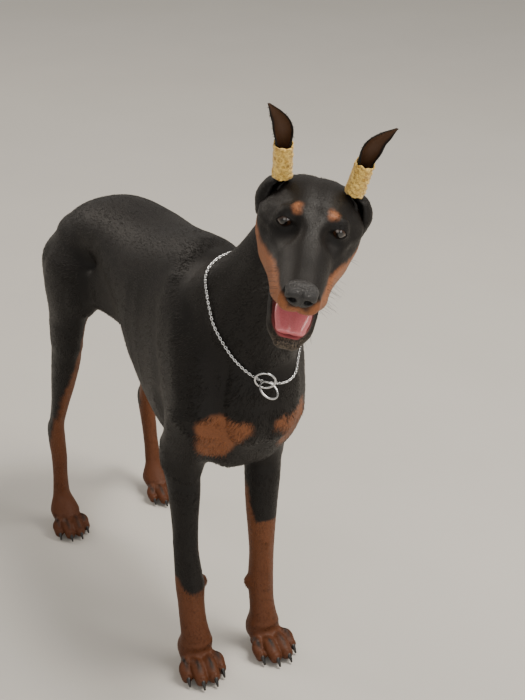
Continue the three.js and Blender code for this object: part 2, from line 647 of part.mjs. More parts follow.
const flesh = union([
  trunk(), neck(), foreleg(-1), foreleg(1), hindleg(-1), hindleg(1), tail(),
  paw(FORE_PAW.right, -PAW_YAW.fore, PAW_SIZE.fore), paw(FORE_PAW.left, PAW_YAW.fore, PAW_SIZE.fore),
  paw(HIND_PAW.right, -PAW_YAW.hind, PAW_SIZE.hind), paw(HIND_PAW.left, PAW_YAW.hind, PAW_SIZE.hind),
  inHead(wholeHead()),
]);
const chainRoute = chainPath(flesh);
const [headAndNeck, body] = parted(flesh.subtract(chain(chainRoute, GAP)), NECK_PLANE.at, NECK_PLANE.normal);
const [headPart, neckPart] = parted(
  headAndNeck, intoHead(NAPE_PLANE.at), headTurned(NAPE_PLANE.normal),
);
const jawCut = inHead(slab(JAW_CUT.at, JAW_CUT.normal, JAW_CUT.size));
const earHollow = union(["right", "left"].map((name) => (
  inHead(union([ear(name, GAP), tape(name, GAP)]))
)));
const headPieces = headPart.subtract(jawCut).subtract(earHollow).decompose()
  .sort((a, b) => b.volume() - a.volume());

function foreBlock(hand, grow) {
  const { inner, outer, front, back } = FORE_ZONE;
  const low = hand < 0 ? -outer : inner.left;
  const high = hand < 0 ? inner.right : outer;
  return block([low, front, UNDER_FLOOR], [high, back, FORE_CUT_Z], grow);
}
function hindBlock(low, high, grow) {
  return block([low, HIND_ZONE.front, UNDER_FLOOR], [high, HIND_ZONE.back, HIND_CUT_Z], grow);
}
const trunkAndTail = body
  .subtract(foreBlock(-1, GAP)).subtract(foreBlock(1, GAP))
  .subtract(hindBlock(-HIND_ZONE.outer, HIND_ZONE.outer, GAP));
const [tailPart, torsoPart] = parted(trunkAndTail, TAIL_PLANE.at, TAIL_PLANE.normal);

const dog = new THREE.Group();
function addNode(name, solid, material) {
  const mesh = new THREE.Mesh(toGeometry(largest(solid)), material);
  mesh.name = name;
  dog.add(mesh);
}
addNode("torso", torsoPart, BLACK_COAT);
addNode("tail", tailPart, BLACK_COAT);
addNode("neck", neckPart, BLACK_COAT);
addNode("head", headPieces[0], BLACK_COAT);
addNode("lower_jaw", headPieces[1], RUST_COAT);
for (const [side, hand] of [["right", -1], ["left", 1]]) {
  const foreLeg = largest(body.intersect(foreBlock(hand, 0)));
  const [inner, outer] = hand < 0 ? [-HIND_ZONE.outer, 0] : [0, HIND_ZONE.outer];
  const hindLeg = largest(body.intersect(hindBlock(inner, outer, 0)));
  const [foreUpper, forePaw] = parted(foreLeg, [0, 0, FORE_PAW_Z], [0, 0, 1]);
  const [hindUpper, hindPaw] = parted(hindLeg, [0, 0, HIND_PAW_Z], [0, 0, 1]);
  addNode(`foreleg_${side}`, foreUpper, BLACK_COAT);
  addNode(`forepaw_${side}`, forePaw, RUST_COAT);
  addNode(`hindleg_${side}`, hindUpper, BLACK_COAT);
  addNode(`hindpaw_${side}`, hindPaw, RUST_COAT);
  addNode(`ear_${side}`, inHead(ear(side)), BLACK_COAT);
  addNode(`ear_tape_${side}`, inHead(tape(side).subtract(ear(side, GAP))), EAR_TAPE);
  addNode(`eye_${side}`, inHead(eyeball(hand)), EYE_GLOSS);
}
addNode("nose", inHead(nose().subtract(nostril(1)).subtract(nostril(-1))), NOSE_LEATHER);
addNode("tongue", inHead(tongue()), WET_TONGUE);
addNode("collar_chain", chain(chainRoute), STEEL);
addNode("collar_ring_upper", collarRing("upper"), STEEL);
addNode("collar_ring_lower", collarRing("lower"), STEEL);
dog.position.set(-MIDDLE.x, -MIDDLE.y, 0);

export default dog;
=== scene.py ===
"""A life-size standing black and rust dog with taped ears and a chain collar, dressed in Blender."""

import logging
import math
from contextlib import contextmanager
from dataclasses import dataclass, field
from enum import Enum
from functools import partial
from typing import Callable, Iterable, Iterator, Sequence

import bmesh
import bpy
import numpy as np
from mathutils import Euler, Matrix, Vector


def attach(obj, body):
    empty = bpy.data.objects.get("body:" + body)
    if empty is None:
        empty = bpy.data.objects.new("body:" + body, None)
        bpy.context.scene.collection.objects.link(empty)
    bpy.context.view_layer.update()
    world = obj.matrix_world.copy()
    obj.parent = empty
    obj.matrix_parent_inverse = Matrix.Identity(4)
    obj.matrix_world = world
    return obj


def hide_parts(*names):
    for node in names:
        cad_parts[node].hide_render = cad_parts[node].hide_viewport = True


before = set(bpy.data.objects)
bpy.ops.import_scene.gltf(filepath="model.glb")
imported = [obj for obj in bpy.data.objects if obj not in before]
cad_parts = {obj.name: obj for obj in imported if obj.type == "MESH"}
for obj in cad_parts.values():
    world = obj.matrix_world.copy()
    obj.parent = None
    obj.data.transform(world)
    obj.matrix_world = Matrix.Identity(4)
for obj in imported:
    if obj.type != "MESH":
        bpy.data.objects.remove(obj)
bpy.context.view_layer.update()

log = logging.getLogger("dog")

Array = np.ndarray
Row = Sequence[float]

MM = 0.001
MIDDLE = np.array([-1.0, -123.0, 0.0])
COAT_DEPTH = 1.6
HEAD_FLOOR = 640.0
SOLE_HEIGHT = 0.2
NO_LINING = -8.0
MARKS = ("rust", "bare", "pink", "grey")


# Places.

@dataclass(frozen=True)
class Place:
    """Where a form's own axes lie in the dog, in millimetres."""

    origin: Array
    turn: Array

    def into(self, points: Array) -> Array:
        """Dog's points in the form's own axes."""
        return (points - self.origin) @ self.turn

    def out(self, points: Array) -> Array:
        """Points of the form's own axes in the dog."""
        return points @ self.turn.T + self.origin


def turned(yaw: float, pitch: float, roll: float) -> Array:
    """A turn by yaw, pitch and roll in degrees, as a matrix.

    Args:
        yaw: turn about the upright axis.
        pitch: nod about the side axis.
        roll: tilt about the front axis.

    Returns:
        The 3 by 3 matrix whose columns are the turned axes.
    """
    whole = Matrix.Rotation(math.radians(yaw), 3, "Z") @ Matrix.Rotation(math.radians(pitch), 3, "X")
    return np.array(whole @ Matrix.Rotation(math.radians(roll), 3, "Y"))


BODY = Place(np.zeros(3), np.eye(3))
HEAD = Place(np.array([-39.0, -475.0, 790.0]), turned(-34.3, 13.0, 12.3))

UP = np.array([0.0, 0.0, 1.0])
FRONT = np.array([0.0, -1.0, 0.0])


def metres(points: Array) -> Array:
    """Design millimetres as metres in the frame."""
    return (np.asarray(points, float) - MIDDLE) * MM


# Forms.

def unit(v: Array) -> Array:
    """A vector at length one."""
    v = np.asarray(v, float)
    return v / np.linalg.norm(v)


def hermite(rows: Array, slopes: Array, i: Array, t: Array, width: Array | float = 1.0) -> Array:
    """Rows between numbers i and i + 1, on a smooth curve through them.

    Args:
        rows: the measures at each station.
        slopes: how fast they change there.
        i: the station below each wanted place.
        t: the part of the way to the next station.
        width: the distance between the two stations.

    Returns:
        The measures at the wanted places.
    """
    a, b = rows[i], rows[i + 1]
    u, v = slopes[i] * width, slopes[i + 1] * width
    return ((2 * t ** 3 - 3 * t ** 2 + 1) * a + (t ** 3 - 2 * t ** 2 + t) * u
            + (3 * t ** 2 - 2 * t ** 3) * b + (t ** 3 - t ** 2) * v)


def box_corners() -> Array:
    """The eight corners of a box of half size one."""
    return np.array(np.meshgrid((-1, 1), (-1, 1), (-1, 1))).reshape(3, -1).T


class Form:
    """A closed form that tells how far a point is from its surface."""

    place: Place = BODY

    def own(self, q: Array) -> Array:
        """Signed distance of points in the form's own axes."""
        raise NotImplementedError

    def shell(self) -> Array:
        """Points that span the form, in its own axes."""
        raise NotImplementedError

    def distance(self, p: Array) -> Array:
        """Signed distance of the dog's points, in millimetres."""
        return self.own(self.place.into(p))

    def reach(self, margin: float) -> tuple[Array, Array]:
        """The form's box in the dog, grown by a margin."""
        points = self.place.out(self.shell())
        return points.min(0) - margin, points.max(0) + margin


class Ball(Form):
    """An ellipsoid."""

    def __init__(self, centre: Row, radii: Row, turn: Row = (0, 0, 0), place: Place = BODY) -> None:
        """Args: centre, radii, turn about x, y, z in degrees, and the place it lies in."""
        self.centre = np.array(centre, float)
        self.radii = np.array(radii, float)
        rx, ry, rz = (Matrix.Rotation(math.radians(a), 3, n) for a, n in zip(turn, "XYZ"))
        self.axes = np.array(rz @ ry @ rx)
        self.place = place

    def own(self, q: Array) -> Array:
        """Signed distance in the ball's own axes."""
        p = (q - self.centre) @ self.axes
        k0 = np.linalg.norm(p / self.radii, axis=1)
        k1 = np.linalg.norm(p / self.radii ** 2, axis=1)
        return k0 * (k0 - 1) / np.maximum(k1, 1e-6)

    def shell(self) -> Array:
        """The corners of its box."""
        return (box_corners() * self.radii) @ self.axes.T + self.centre


class Loft(Form):
    """A body lofted through sections square to one axis.

    Each station is (x, y, z, half width, front, back, power, taper), as in the solids.
    """

    def __init__(self, stations: Sequence[Row], facing: Array, along: Array | None = None,
                 domes: Row = (12, 12), place: Place = BODY) -> None:
        """Args: stations, the way the front faces, the axis, dome lengths and the place."""
        rows = np.array([list(s) + [2.0, 0.0][len(s) - 6:] for s in stations], float)
        first = rows[-1, :3] - rows[0, :3]
        self.along = unit(first if along is None else along)
        self.front = unit(facing - self.along * (facing @ self.along))
        self.side = np.cross(self.along, self.front)
        at = rows[:, :3]
        self.s = at @ self.along
        self.rows = np.column_stack([at @ self.side, at @ self.front, rows[:, 3:]])
        self.slopes = np.gradient(self.rows, self.s, axis=0)
        self.domes = domes
        self.place = place

    def section(self, s: Array) -> Array:
        """The sections' measures at places along the axis."""
        i = np.clip(np.searchsorted(self.s, s) - 1, 0, len(self.s) - 2)
        width = self.s[i + 1] - self.s[i]
        return hermite(self.rows, self.slopes, i, ((s - self.s[i]) / width)[:, None], width[:, None])

    def own(self, q: Array) -> Array:
        """Signed distance in the loft's own axes."""
        s = q @ self.along
        low, high = self.s[0], self.s[-1]
        inner = np.clip(s, low, high)
        m = self.section(inner)
        u = q @ self.side - m[:, 0]
        v = q @ self.front - m[:, 1]
        reach = np.where(v > 0, m[:, 3], m[:, 4])
        half = m[:, 2] * (1 + m[:, 6] * np.clip(v / reach, -1, 1))
        n = m[:, 5]
        rho = ((np.abs(u) / half) ** n + (np.abs(v) / reach) ** n + 1e-9) ** (1 / n)
        r = np.hypot(u, v)
        small = np.minimum(half, reach)
        d = np.where(rho < 0.05, -small, r * (1 - 1 / rho))
        beyond = np.abs(s - inner)
        dome = np.where(s < low, self.domes[0], self.domes[1])
        over = np.hypot(np.maximum(d + small, 0), beyond * small / dome) - small
        return np.where(beyond > 0, over, d)

    def shell(self) -> Array:
        """Points round the sections, and past the ends."""
        s = np.linspace(self.s[0], self.s[-1], 24)
        m = self.section(s)
        s[0] -= self.domes[0]
        s[-1] += self.domes[1]
        points = []
        for u, v in ((1, 1), (-1, 1), (1, -1), (-1, -1)):
            a = m[:, 0] + u * m[:, 2] * 1.1
            b = m[:, 1] + v * (m[:, 3] if v > 0 else m[:, 4])
            points.append(s[:, None] * self.along + a[:, None] * self.side + b[:, None] * self.front)
        return np.vstack(points)


class Stroke(Form):
    """A line on the surface that raises a ridge or presses a groove."""

    def __init__(self, points: Sequence[Row], width: float, place: Place = BODY) -> None:
        """Args: the line's points, the half width of the ridge and the place."""
        self.points = np.array(points, float)
        self.width = width
        self.place = place

    def own(self, q: Array) -> Array:
        """Distance to the line."""
        best = np.full(len(q), 1e9)
        for a, b in zip(self.points[:-1], self.points[1:]):
            step = b - a
            t = np.clip((q - a) @ step / (step @ step), 0, 1)
            best = np.minimum(best, np.linalg.norm(q - a - t[:, None] * step, axis=1))
        return best

    def shell(self) -> Array:
        """The line's own points."""
        return self.points

    def weight(self, p: Array) -> Array:
        """How strongly the stroke acts on points, one on the line."""
        return np.exp(-(self.distance(p) / self.width) ** 2)


class Blend(Enum):
    """How a form joins the ones before it."""

    ADD = "add"
    CUT = "cut"
    RAISE = "raise"


def smooth_least(a: Array, b: Array, k: float) -> Array:
    """The lesser of two distances, rounded over k where they meet."""
    h = np.maximum(k - np.abs(a - b), 0) / k
    return np.minimum(a, b) - h * h * k / 4


FAR = 40.0


class Sculpture(Form):
    """Forms blended in order into one."""

    def __init__(self) -> None:
        """An empty sculpture."""
        self.steps: list[tuple[Blend, Form, float, Array, Array]] = []
        self.inset = 0.0

    def _step(self, way: Blend, form: Form, k: float) -> None:
        """Args: the way of joining, the form, and its softness or height."""
        margin = 3 * form.width if isinstance(form, Stroke) else abs(k) + 14
        low, high = form.reach(margin)
        self.steps.append((way, form, k, low, high))

    def add(self, form: Form, soft: float = 10.0) -> None:
        """Joins a form, its meeting line rounded over `soft`."""
        self._step(Blend.ADD, form, soft)

    def cut(self, form: Form, soft: float = 3.0) -> None:
        """Cuts a form away, its rim rounded over `soft`."""
        self._step(Blend.CUT, form, soft)

    def stroke(self, points: Sequence[Row], width: float, height: float, place: Place = BODY,
               snap: bool = True) -> None:
        """Raises a ridge of a height, or a groove where it is negative, along a line."""
        line = Stroke(points, width, place)
        if snap:
            line.points = place.into(self.settle(place.out(line.points), 6))
        self._step(Blend.RAISE, line, height)

    @staticmethod
    def join(way: Blend, form: Form, k: float, d: Array, p: Array) -> Array:
        """The distance after one step."""
        if way is Blend.RAISE:
            return d - k * form.weight(p)
        e = form.distance(p)
        if way is Blend.ADD:
            return smooth_least(d, e, k)
        return -smooth_least(-d, e, k)

    def distance(self, p: Array) -> Array:
        """Signed distance of points to the whole."""
        d = np.full(len(p), FAR)
        for way, form, k, low, high in self.steps:
            near = np.flatnonzero(np.all((p > low) & (p < high), axis=1))
            if near.size:
                d[near] = self.join(way, form, k, d[near], p[near])
        return d + self.inset

    def on_grid(self, axes: Sequence[Array]) -> Array:
        """Signed distance at the points of a grid."""
        d = np.full([len(a) for a in axes], FAR)
        for way, form, k, low, high in self.steps:
            cut = tuple(slice(*np.searchsorted(a, (l, h))) for a, l, h in zip(axes, low, high))
            part = d[cut]
            if part.size == 0:
                continue
            at = np.meshgrid(*(a[c] for a, c in zip(axes, cut)), indexing="ij")
            p = np.stack([x.ravel() for x in at], axis=1)
            d[cut] = self.join(way, form, k, part.ravel(), p).reshape(part.shape)
        return d + self.inset

    def slope(self, p: Array, step: float = 0.35) -> tuple[Array, Array]:
        """The distance and its slope at points."""
        d = self.distance(p)
        parts = [(self.distance(p + step * axis) - d) / step for axis in np.eye(3)]
        return d, np.stack(parts, axis=1)

    def settle(self, p: Array, rounds: int = 3, most: float = 3.0) -> Array:
        """Points moved on to the surface."""
        p = np.array(p, float)
        for _ in range(rounds):
            d, g = self.slope(p)
            step = d / np.maximum((g ** 2).sum(1), 0.05)
            p -= np.clip(step, -most, most)[:, None] * g
        return p

    def normal(self, p: Array) -> Array:
        """The way out of the surface at points."""
        _, g = self.slope(p, 0.8)
        return g / np.maximum(np.linalg.norm(g, axis=1, keepdims=True), 1e-6)


# Meshes.

def surface_net(form: Sculpture, low: Row, high: Row, step: float) -> tuple[Array, Array]:
    """The surface of a sculpture as four-sided faces.

    Args:
        form: the sculpture.
        low: lowest corner of the space, clear of the form.
        high: highest corner.
        step: size of the faces.

    Returns:
        Points in millimetres, and the faces.
    """
    axes = [np.arange(a, b + step, step) for a, b in zip(low, high)]
    d = form.on_grid(axes)
    inside = d < 0
    shape = np.array(d.shape) - 1
    total = np.zeros((int(np.prod(shape)), 3))
    count = np.zeros(len(total))
    loops = []
    for axis in range(3):
        b, c = (axis + 1) % 3, (axis + 2) % 3
        first = [slice(1, -1)] * 3
        second = [slice(1, -1)] * 3
        first[axis], second[axis] = slice(0, -1), slice(1, None)
        one, two = inside[tuple(first)], inside[tuple(second)]
        where = np.argwhere(one != two)
        if not len(where):
            continue
        base = where + np.array([0 if i == axis else 1 for i in range(3)])
        da = d[tuple(base.T)]
        ahead = base.copy()
        ahead[:, axis] += 1
        t = da / (da - d[tuple(ahead.T)])
        point = base.astype(float)
        point[:, axis] += t
        ring = []
        for ob, oc in ((0, 0), (-1, 0), (-1, -1), (0, -1)):
            cell = base.copy()
            cell[:, b] += ob
            cell[:, c] += oc
            index = np.ravel_multi_index(cell.T, shape)
            ring.append(index)
            for k in range(3):
                total[:, k] += np.bincount(index, point[:, k], len(total))
            count += np.bincount(index, minlength=len(total))
        quad = np.stack(ring, axis=1)
        starts_in = inside[tuple(base.T)]
        quad[~starts_in] = quad[~starts_in][:, ::-1]
        loops.append(quad)
    used = np.flatnonzero(count)
    number = np.full(len(total), -1)
    number[used] = np.arange(len(used))
    points = total[used] / count[used, None] * step + np.array([a[0] for a in axes])
    return points, number[np.vstack(loops)]


def piece_from(name: str, points: Array, faces: Iterable[Sequence[int]]) -> bpy.types.Object:
    """A smooth-shaded object from points in millimetres and faces."""
    mesh = bpy.data.meshes.new(name)
    mesh.from_pydata(metres(points), [], faces if isinstance(faces, list) else faces.tolist())
    mesh.validate()
    mesh.update()
    mesh.shade_smooth()
    piece = bpy.data.objects.new(name, mesh)
    bpy.context.scene.collection.objects.link(piece)
    return piece


def points_of(mesh: bpy.types.Mesh) -> Array:
    """A mesh's points in design millimetres."""
    flat = np.empty(len(mesh.vertices) * 3)
    mesh.vertices.foreach_get("co", flat)
    return flat.reshape(-1, 3) / MM + MIDDLE


def set_points(mesh: bpy.types.Mesh, points: Array) -> None:
    """Writes design millimetres back to a mesh."""
    mesh.vertices.foreach_set("co", metres(points).ravel())
    mesh.update()


def measure_of(mesh: bpy.types.Mesh, name: str) -> Array:
    """A measure stored on a mesh's points."""
    values = np.empty(len(mesh.vertices))
    mesh.attributes[name].data.foreach_get("value", values)
    return values


def set_measure(mesh: bpy.types.Mesh, name: str, values: Array) -> None:
    """Stores one number a point under a name that materials read."""
    layer = mesh.attributes.new(name, "FLOAT", "POINT")
    layer.data.foreach_set("value", np.asarray(values, float))


@contextmanager
def edited(mesh: bpy.types.Mesh) -> Iterator[bmesh.types.BMesh]:
    """A mesh as an editable copy that is written back at the end."""
    bm = bmesh.new()
    bm.from_mesh(mesh)
    yield bm
    bm.to_mesh(mesh)
    bm.free()


def refine(mesh: bpy.types.Mesh, pick: Callable[[Array], Array]) -> None:
    """Splits the picked faces in four.

    Args:
        mesh: the mesh to refine.
        pick: says for points in millimetres which are to be finer.
    """
    with edited(mesh) as bm:
        chosen = pick(points_of(mesh))
        edges = {e for f in bm.faces if all(chosen[v.index] for v in f.verts) for e in f.edges}
        bmesh.ops.subdivide_edges(bm, edges=list(edges), cuts=1, use_grid_fill=True)


def relax(mesh: bpy.types.Mesh, form: Sculpture, rounds: int, strength: float = 0.5) -> None:
    """Evens a mesh's points along the surface of a sculpture."""
    edges = np.empty(len(mesh.edges) * 2, dtype=np.int64)
    mesh.edges.foreach_get("vertices", edges)
    a, b = edges.reshape(-1, 2).T
    p = points_of(mesh)
    count = np.bincount(np.concatenate([a, b]), minlength=len(p))[:, None]
    for _ in range(rounds):
        total = np.zeros_like(p)
        for k in range(3):
            total[:, k] = np.bincount(a, p[b, k], len(p)) + np.bincount(b, p[a, k], len(p))
        p = p + strength * (total / np.maximum(count, 1) - p)
        p = form.settle(p, 1)
    set_points(mesh, form.settle(p, 2))


def deselect() -> None:
    """Leaves edit mode and selects nothing."""
    if bpy.context.mode != "OBJECT":
        bpy.ops.object.mode_set(mode="OBJECT")
    bpy.ops.object.select_all(action="DESELECT")


def joined(pieces: Sequence[bpy.types.Object]) -> None:
    """Joins objects into the first of them, which stays active."""
    deselect()
    for piece in pieces:
        piece.select_set(True)
    bpy.context.view_layer.objects.active = pieces[0]
    bpy.ops.object.join()


def turn_to(way: Row) -> Euler:
    """The turn that points an object's own upright axis along a way."""
    return Vector(way).to_track_quat("Z", "Y").to_euler()


def finished(name: str) -> bpy.types.Object:
    """Names the active object and puts its place in its mesh."""
    if bpy.context.object.mode == "EDIT":
        bpy.ops.object.mode_set(mode="OBJECT")
    piece = bpy.context.object
    piece.name = name
    piece.data.name = name
    bpy.ops.object.transform_apply(location=True, rotation=True, scale=True)
    piece.data.shade_smooth()
    piece.select_set(False)
    return piece


# Sizes of the dog.

HANDS = (("right", -1), ("left", 1))


@dataclass(frozen=True)
class Stance:
    """Where the legs stand, in millimetres."""

    fore_x: tuple[float, float] = (-74.0, 50.0)
    fore_y: float = -205.0
    fore_shaft: tuple[tuple[tuple[float, ...], ...], ...] = (
        ((-72.5, -184, 372, 26, 33, 32), (-74, -192, 338, 27, 33, 33), (-74, -199, 300, 24.5, 28, 29),
         (-75, -203, 250, 21, 22.5, 23), (-74.5, -205, 200, 20, 20, 20.5), (-71, -205, 160, 22, 21, 21),
         (-69, -206, 138, 23, 22, 22), (-68.5, -208, 112, 21.5, 20, 21), (-67.5, -213, 78, 22, 19.5, 20),
         (-65, -219, 48, 24.5, 20, 20)),
        ((55, -184, 372, 26, 33, 32), (56, -192, 338, 27.5, 33, 33), (53, -199, 300, 27.5, 30, 30),
         (50, -203, 250, 25.5, 25, 25), (49.5, -205, 200, 22, 21.5, 21.5), (50, -205, 160, 20, 20, 20),
         (49, -206, 138, 20, 20.5, 21), (47.5, -208, 112, 21, 20, 21), (47.5, -213, 78, 20.5, 19, 19.5),
         (48, -219, 48, 23.5, 20, 20)))
    wrist_knob: tuple[tuple[float, float, float], ...] = ((-47.0, -203.0, 139.0), (29.5, -203.0, 113.0))
    fore_paw: tuple[tuple[float, float], ...] = ((-68.0, -227.0), (49.0, -228.0))
    hind_paw: tuple[tuple[float, float], ...] = ((-95.0, 224.0), (92.0, 253.0))
    hock: tuple[tuple[float, float, float], ...] = ((-95.0, 262.0, 166.0), (94.0, 312.0, 162.0))
    stifle: tuple[tuple[float, float, float], ...] = ((-84.0, 148.0, 392.0), (82.0, 170.0, 390.0))
    paw_yaw: tuple[float, float, float, float] = (-4.0, 4.0, -2.0, 2.0)
    arm_spread: float = 6.0
    fore_size: float = 0.97
    hind_size: float = 0.86


STANCE = Stance()
EYE = np.array([30.7, 4.6, 1.0])
EYE_RADIUS = 11.5


def rib(y: float, top: float, bottom: float, half: float, x: float = 0, power: float = 2.2,
        taper: float = 0) -> tuple[float, ...]:
    """A section of the trunk from its top and bottom heights."""
    middle = 0.5 * (top + bottom)
    return (x, y, middle, half, top - middle, middle - bottom, power, taper)


@dataclass
class BodyShape:
    """Trunk, neck, legs and tail as one sculpture."""

    stance: Stance = STANCE

    def build(self, flesh: Sculpture) -> None:
        """Adds the whole body."""
        self.trunk(flesh)
        self.neck(flesh)
        for i, (_, hand) in enumerate(HANDS):
            self.foreleg(flesh, i, hand)
            self.hindleg(flesh, i, hand)
        self.tail(flesh)
        self.relief(flesh)

    def trunk(self, flesh: Sculpture) -> None:
        """Chest, loin and croup."""
        flesh.add(Loft([
            rib(-284, 542, 396, 58, 5, 2.4), rib(-258, 596, 356, 82, 4, 2.4), rib(-205, 626, 330, 90, 1),
            rib(-150, 650, 318, 90, -3, 2.1, -0.08), rib(-90, 641, 318, 89, 1, 2.2, -0.04),
            rib(-25, 626, 366, 90, 3, 2.2, 0.02), rib(40, 616, 436, 84, 5, 2, 0.1),
            rib(95, 613, 480, 78, 4, 2, 0.1), rib(140, 610, 494, 77, 2, 2, 0.06),
            rib(185, 604, 486, 82, 0, 2.1), rib(232, 590, 468, 82, 0, 2.2), rib(272, 562, 474, 60),
        ], UP, -FRONT, (24, 16)), 1)

    def neck(self, flesh: Sculpture) -> None:
        """The neck, up to the back of the skull."""
        flesh.add(Loft([
            (1, -154, 545, 80, 76, 122, 2.3), (4, -200, 580, 78, 60, 126, 2.4),
            (8, -244, 624, 70, 44, 110, 2.3), (10, -290, 668, 56, 40, 82, 2.2),
            (12, -332, 715, 48, 42, 64, 2.1), (14, -360, 750, 45, 40, 52, 2.1),
            (14, -380, 768, 44, 34, 46, 2.1), (6, -400, 776, 40, 26, 40, 2.1),
        ], unit([0, 0.7, 0.7]), unit([0, -0.735, 0.678]), (30, 14)), 16)

    def foreleg(self, flesh: Sculpture, i: int, hand: int) -> None:
        """Shoulder blade, upper arm, forearm and pastern."""
        x, paw, y = self.stance.fore_x[i], self.stance.fore_paw[i], self.stance.fore_y
        mid = -8
        spread = 0 if hand < 0 else self.stance.arm_spread
        outward = spread * hand
        flesh.add(Loft([
            (mid + 38 * hand, -150, 596, 20, 30, 34), (mid + 53 * hand, -174, 556, 24, 46, 50),
            (mid + 62 * hand, -206, 498, 27, 50, 58), (mid + 67 * hand, -236, 436, 27, 42, 48),
        ], FRONT, domes=(14, 14)), 22)
        flesh.add(Loft([
            (mid + (66 + spread) * hand, -238, 432, 27, 34, 48),
            (mid + (66 + spread) * hand, -212, 392, 29, 38, 50), (x * 0.98 + outward, -190, 352, 27, 38, 40),
        ], FRONT, domes=(16, 14)), 20)
        flesh.add(Loft(self.stance.fore_shaft[i], FRONT, -UP, (18, 14)), 18)
        flesh.add(Ball((x * 0.99, -162, 350), (15, 16, 22)), 14)
        flesh.add(Ball((x, y + 16, 132), (9, 8, 13)), 8)
        flesh.add(Ball(self.stance.wrist_knob[i], (8, 9, 11)), 6)
        self.paw(flesh, paw, self.stance.paw_yaw[i], self.stance.fore_size)

    def paw(self, flesh: Sculpture, at: Row, yaw: float, size: float) -> None:
        """Four arched toes, the pads under them and the heel pad."""
        place = paw_place(at, yaw)

        def big(rows: Sequence[Row]) -> list[tuple[float, ...]]:
            """Rows at the paw's size, all but the power."""
            return [tuple(v * size for v in r[:6]) + tuple(r[6:]) for r in rows]

        flesh.add(Loft(big([
            (0, 24, 32, 25, 24, 26), (0, 6, 28, 27, 20, 24), (0, -10, 22, 26, 14, 20),
        ]), UP, FRONT, (10, 8), place), 20)
        for out, reach, width in TOES:
            flesh.add(Loft(big([
                (out * 0.72, -4, 24, width - 1, 12, 14), (out * 0.95, -reach * 0.7 - 6, 23, width, 12, 16),
                (out * 1.02, -reach - 16, 13, width - 1.5, 11, 12),
            ]), UP, FRONT, (9, 9), place), 2.2)
        flesh.add(Ball((0, 12 * size, 9 * size), (22 * size, 19 * size, 12 * size), place=place), 5)

    def hindleg(self, flesh: Sculpture, i: int, hand: int) -> None:
        """Thigh, second thigh, hock and rear pastern."""
        foot, hock, stifle = self.stance.hind_paw[i], self.stance.hock[i], self.stance.stifle[i]
        flesh.add(Loft([
            (46 * hand, 212, 540, 36, 56, 62), (61 * hand, 214, 508, 46, 78, 80),
            (71 * hand, 208, 468, 44, 80, 80), (stifle[0] * 1.02, stifle[1] + 44, 420, 28, 46, 68),
            (stifle[0] * 1.08, stifle[1] + 46, 376, 22, 30, 48),
        ], FRONT, -UP, (20, 26)), 26)
        flesh.add(Loft([
            (stifle[0] * 1.08, stifle[1] + 42, 396, 22, 30, 50),
            (stifle[0] * 1.07, stifle[1] + 54, 345, 23.5, 31, 42),
            (stifle[0] * 0.4 + hock[0] * 0.6, (stifle[1] + 36) * 0.5 + hock[1] * 0.5, 285, 20, 28, 32),
            (hock[0] * 0.9 + stifle[0] * 0.1, hock[1] - 22, 225, 14.5, 18, 23),
            (hock[0], hock[1] - 10, 190, 13.5, 15, 20), (hock[0], hock[1] - 6, hock[2] - 4, 15, 19, 21),
            (hock[0], hock[1] - 12, 130, 14.5, 17, 16),
            (hock[0] * 0.5 + foot[0] * 0.5, (hock[1] + foot[1]) / 2 + 6, 90, 14, 15, 14),
            (foot[0], foot[1] + 22, 52, 17, 16, 15), (foot[0], foot[1] + 12, 34, 20, 16, 16),
        ], FRONT, -UP, (16, 10)), 12)
        flesh.add(Ball((hock[0], hock[1] + 8, hock[2] + 10), (10, 13, 19)), 10)
        flesh.add(Loft([
            (50 * hand, 40, 468, 16, 56, 16), (62 * hand, 96, 472, 16, 60, 16),
            (76 * hand, 150, 463, 13, 26, 20),
        ], UP, -FRONT, (10, 4)), 30)
        self.paw(flesh, foot, self.stance.paw_yaw[2 + i], self.stance.hind_size)

    def tail(self, flesh: Sculpture) -> None:
        """The docked stub."""
        flesh.add(Loft([
            (0, 262, 548, 19, 18, 24), (0, 288, 548, 15, 15, 16), (0, 304, 540, 12, 11, 12),
            (0, 316, 530, 8, 8, 8),
        ], UP, -FRONT, (8, 6)), 12)

    def relief(self, flesh: Sculpture) -> None:
        """Muscles, tendons and folds that show through the coat."""
        for i, (_, hand) in enumerate(HANDS):
            x, hock, stifle = self.stance.fore_x[i], self.stance.hock[i], self.stance.stifle[i]
            ridge = flesh.stroke
            ridge([(78 * hand - 6, -120, 610), (84 * hand - 6, -138, 540),
                   (88 * hand - 6, -165, 470)], 14, -3.0)
            ridge([(70 * hand - 6, -200, 560), (84 * hand - 6, -222, 500),
                   (86 * hand - 6, -236, 445)], 16, 2.5)
            ridge([(90 * hand - 6, -150, 430), (86 * hand - 4, -165, 392),
                   (x + 16 * hand, -160, 350)], 12, -3.5)
            ridge([(84 * hand - 6, -214, 420), (84 * hand - 4, -200, 380),
                   (x + 22 * hand, -196, 340)], 16, 3.0)
            ridge([(40 * hand, -286, 420), (34 * hand, -284, 385), (30 * hand, -262, 350)], 16, 3.2)
            ridge([(x + 16 * hand, -190, 330), (x + 18 * hand, -196, 280),
                   (x + 15 * hand, -200, 230)], 6, -1.6)
            ridge([(x, -226, 190), (x, -227, 150), (x, -228, 110)], 5, 1.2)
            ridge([(x, -180, 230), (x, -182, 190), (x, -184, 150)], 5, 1.6)
            ridge([(x + 12 * hand, -196, 220), (x + 13 * hand, -196, 160)], 4, -1.2)
            ridge([(80 * hand, 110, 560), (88 * hand, 120, 500), (80 * hand, 118, 452)], 16, -3.0)
            ridge([(62 * hand, 60, 440), (66 * hand, 100, 450), (72 * hand, 128, 430)], 9, 3.0)
            ridge([(100 * hand, 232, 520), (108 * hand, 246, 460), (100 * hand, 244, 400)], 14, -2.6)
